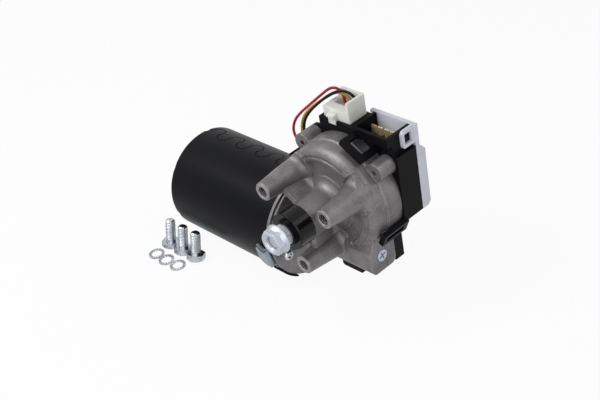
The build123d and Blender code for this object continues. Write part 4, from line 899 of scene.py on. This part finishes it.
class MotorSizes(bpy.types.PropertyGroup):
    """Sizes of the pieces that are added to the plain model, and the studio's light and floor."""

    lead_radius: FloatProperty(
        name="Lead radius", description="Outside radius of a lead", default=0.8 * MM,
        min=0.2 * MM, max=3 * MM, unit="LENGTH", precision=5)
    thread_pitch: FloatProperty(
        name="Thread pitch", description="Pitch of the pillars', bolts' and nut's threads",
        default=1.0 * MM, min=0.3 * MM, max=3 * MM, unit="LENGTH", precision=5)
    thread_height: FloatProperty(
        name="Thread height", description="How far the tapped ridges stand into a pillar's hole",
        default=0.5 * MM, min=0.05 * MM, max=1 * MM, unit="LENGTH", precision=5)
    pillar_bore: FloatProperty(
        name="Pillar bore", description="Radius of the tapped holes",
        default=PILLAR_BORE_R * MM, min=1 * MM, max=5 * MM, unit="LENGTH", precision=5)
    pillar_turns: IntProperty(
        name="Pillar turns", description="Turns of thread in each pillar", default=17,
        min=2, max=30)
    bolt_shank: FloatProperty(
        name="Bolt shank", description="Radius of a loose bolt's shank", default=2.9 * MM,
        min=1 * MM, max=5 * MM, unit="LENGTH", precision=5)
    bolt_ridge: FloatProperty(
        name="Bolt ridge", description="Height of a loose bolt's thread", default=0.2 * MM,
        min=0.05 * MM, max=1 * MM, unit="LENGTH", precision=5)
    nut_flats: FloatProperty(
        name="Nut flats", description="Width of the crank nut across its flats",
        default=13.0 * MM, min=5 * MM, max=30 * MM, unit="LENGTH", precision=5)
    nut_height: FloatProperty(
        name="Nut height", description="Height of the crank nut with its flange",
        default=6.5 * MM, min=3 * MM, max=20 * MM, unit="LENGTH", precision=5)
    nut_bore: FloatProperty(
        name="Nut bore", description="Radius of the crank nut's thread at its root",
        default=4.05 * MM, min=1 * MM, max=10 * MM, unit="LENGTH", precision=5)
    nut_flange_radius: FloatProperty(
        name="Nut flange", description="Radius of the crank nut's flange",
        default=8.25 * MM, min=3 * MM, max=20 * MM, unit="LENGTH", precision=5)
    clip_height: FloatProperty(
        name="Clip height", description="How far the rim clip reaches down the can's side",
        default=14.8 * MM, min=3 * MM, max=30 * MM, unit="LENGTH", precision=5)
    clip_scoop: FloatProperty(
        name="Clip scoop", description="Depth of the dip in the rim clip's upper edge",
        default=2.0 * MM, min=0.0, max=10 * MM, unit="LENGTH", precision=5)
    clip_bulge: FloatProperty(
        name="Clip bulge", description="How far the rim clip stands off the can",
        default=1.1 * MM, min=0.0, max=10 * MM, unit="LENGTH", precision=5)
    clip_thickness: FloatProperty(
        name="Clip thickness", description="Sheet of the rim clip", default=1.1 * MM,
        min=0.3 * MM, max=3 * MM, unit="LENGTH", precision=5)
    key_power: FloatProperty(
        name="Key lamp", description="Power of the lamp above the motor", default=6.0,
        min=0.0, max=100.0, unit="POWER")
    fill_power: FloatProperty(
        name="Fill lamp", description="Power of the lamp beside the camera", default=3.4,
        min=0.0, max=100.0, unit="POWER")
    rim_power: FloatProperty(
        name="Rim lamp", description="Power of the lamp behind the motor", default=1.6,
        min=0.0, max=100.0, unit="POWER")
    ambient: FloatProperty(
        name="Ambient", description="Strength of the even studio light", default=0.2,
        min=0.0, max=2.0)
    floor_half: FloatProperty(
        name="Floor", description="Half of the floor's side", default=4.0,
        min=0.5, max=20.0, unit="LENGTH")


class MotorOperator:
    """What the operators share."""

    bl_options = {"REGISTER", "UNDO"}


class WIPER_OT_casting(MotorOperator, bpy.types.Operator):
    """Give the die-cast housing its sandy skin"""

    bl_idname = "wiper.casting"
    bl_label = "Casting"

    def execute(self, context):
        dress("cast_alloy")
        return {"FINISHED"}


class WIPER_OT_can(MotorOperator, bpy.types.Operator):
    """Paint the motor's can and its end plate"""

    bl_idname = "wiper.can"
    bl_label = "Can"

    def execute(self, context):
        dress("black_paint")
        return {"FINISHED"}


class WIPER_OT_fixings(MotorOperator, bpy.types.Operator):
    """Plate the nut, clip, screws, bolts and washers"""

    bl_idname = "wiper.fixings"
    bl_label = "Fixings"

    def execute(self, context):
        for finish in ("zinc_steel", "bolt_zinc"):
            dress(finish)
        return {"FINISHED"}


class WIPER_OT_mouldings(MotorOperator, bpy.types.Operator):
    """Finish the black cover, frosted lid, white plug, shaft cap and rubber pieces"""

    bl_idname = "wiper.mouldings"
    bl_label = "Mouldings"

    def execute(self, context):
        for finish in (
                "black_plastic", "clear_plastic", "white_plastic", "gloss_black",
                "black_rubber"):
            dress(finish)
        return {"FINISHED"}


class WIPER_OT_drive(MotorOperator, bpy.types.Operator):
    """Finish the shafts, bushes, wheel, contacts and the motor's inside"""

    bl_idname = "wiper.drive"
    bl_label = "Drive and inside"

    def execute(self, context):
        for finish in (
                "steel", "fluted_steel", "sintered_bronze", "ferrite", "core_steel", "copper",
                "brown_board", "carbon", "gear_plastic", "brass_strip"):
            dress(finish)
        return {"FINISHED"}


class WIPER_OT_leads(MotorOperator, bpy.types.Operator):
    """Lay the red, yellow and black leads"""

    bl_idname = "wiper.leads"
    bl_label = "Leads"

    def execute(self, context):
        radius = context.scene.motor_sizes.lead_radius
        for name, slot in (
                ("lead_red", "red_lead"), ("lead_yellow", "yellow_lead"),
                ("lead_black", "black_lead")):
            lead_piece(name, slot, radius)
        return {"FINISHED"}


class WIPER_OT_pillar_threads(MotorOperator, bpy.types.Operator):
    """Cut the threads that show in the three pillars' holes"""

    bl_idname = "wiper.pillar_threads"
    bl_label = "Pillar threads"

    def execute(self, context):
        sizes = context.scene.motor_sizes
        parts = [pillar_thread_points(sizes, angle) for angle in PILLAR_ANGLES]
        joined_piece("pillar_threads", parts, "cast_alloy", "body")
        return {"FINISHED"}


class WIPER_OT_bolt_threads(MotorOperator, bpy.types.Operator):
    """Roll the threads of the three loose bolts"""

    bl_idname = "wiper.bolt_threads"
    bl_label = "Bolt threads"

    def execute(self, context):
        sizes = context.scene.motor_sizes
        parts = [bolt_thread_points(sizes, place) for place in BOLT_PLACES]
        joined_piece("bolt_threads", parts, "zinc_steel", "body", "bolt_zinc")
        return {"FINISHED"}


class WIPER_OT_crank_nut(MotorOperator, bpy.types.Operator):
    """Turn the flanged nut on the shaft's end"""

    bl_idname = "wiper.crank_nut"
    bl_label = "Crank nut"

    def execute(self, context):
        parts = [crank_nut_points(context.scene.motor_sizes)]
        piece = joined_piece("crank_nut_dressed", parts, "zinc_steel", "output")
        sharpen(piece)
        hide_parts("crank_nut")
        return {"FINISHED"}


class WIPER_OT_rim_clip(MotorOperator, bpy.types.Operator):
    """Press the clip over the can's rim"""

    bl_idname = "wiper.rim_clip"
    bl_label = "Rim clip"

    def execute(self, context):
        parts = [rim_clip_points(context.scene.motor_sizes)]
        # The clip takes the darker copy of the zinc: painted shade
        piece = joined_piece("can_clip_dressed", parts, "zinc_steel", "body", "clip_zinc")
        sharpen(piece)
        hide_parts("can_clip")
        return {"FINISHED"}


class WIPER_OT_stage(MotorOperator, bpy.types.Operator):
    """Set up the floor, lamps, backdrop and camera"""

    bl_idname = "wiper.stage"
    bl_label = "Studio"

    def execute(self, context):
        sizes = context.scene.motor_sizes
        ground = studio_floor(context.scene.motor_colours, sizes.floor_half)
        build_world(sizes.ambient)
        for name, (place, side) in LAMPS.items():
            lamp("lamp_" + name, place, side, getattr(sizes, name + "_power"))
        context.scene.camera = photo_camera()
        context.scene.view_settings.view_transform = "Standard"
        return {"FINISHED"}


OPERATORS = (
    WIPER_OT_stage, WIPER_OT_leads, WIPER_OT_casting, WIPER_OT_can, WIPER_OT_fixings,
    WIPER_OT_mouldings, WIPER_OT_drive, WIPER_OT_crank_nut, WIPER_OT_rim_clip,
    WIPER_OT_pillar_threads, WIPER_OT_bolt_threads,
)


class WIPER_PT_panel(bpy.types.Panel):
    """Lists the pieces, their colours and sizes"""

    bl_idname = "WIPER_PT_panel"
    bl_label = "Wiper motor"
    bl_space_type = "VIEW_3D"
    bl_region_type = "UI"
    bl_category = "Wiper motor"

    def draw(self, context):
        layout = self.layout
        for group in (context.scene.motor_colours, context.scene.motor_sizes):
            column = layout.column()
            for key in group.__annotations__:
                column.prop(group, key)
        column = layout.column()
        for operator in OPERATORS:
            column.operator(operator.bl_idname)


CLASSES = (MotorColours, MotorSizes, *OPERATORS, WIPER_PT_panel)


def register():
    """Register the classes and their scene properties."""
    for entry in CLASSES:
        bpy.utils.register_class(entry)
    bpy.types.Scene.motor_colours = PointerProperty(type=MotorColours)
    bpy.types.Scene.motor_sizes = PointerProperty(type=MotorSizes)


def unregister():
    """Take the classes and properties away again."""
    del bpy.types.Scene.motor_sizes
    del bpy.types.Scene.motor_colours
    for entry in reversed(CLASSES):
        bpy.utils.unregister_class(entry)


def main():
    """Register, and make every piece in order."""
    register()
    for operator in OPERATORS:
        group, name = operator.bl_idname.split(".")
        getattr(getattr(bpy.ops, group), name)()


if __name__ == "__main__":
    main()
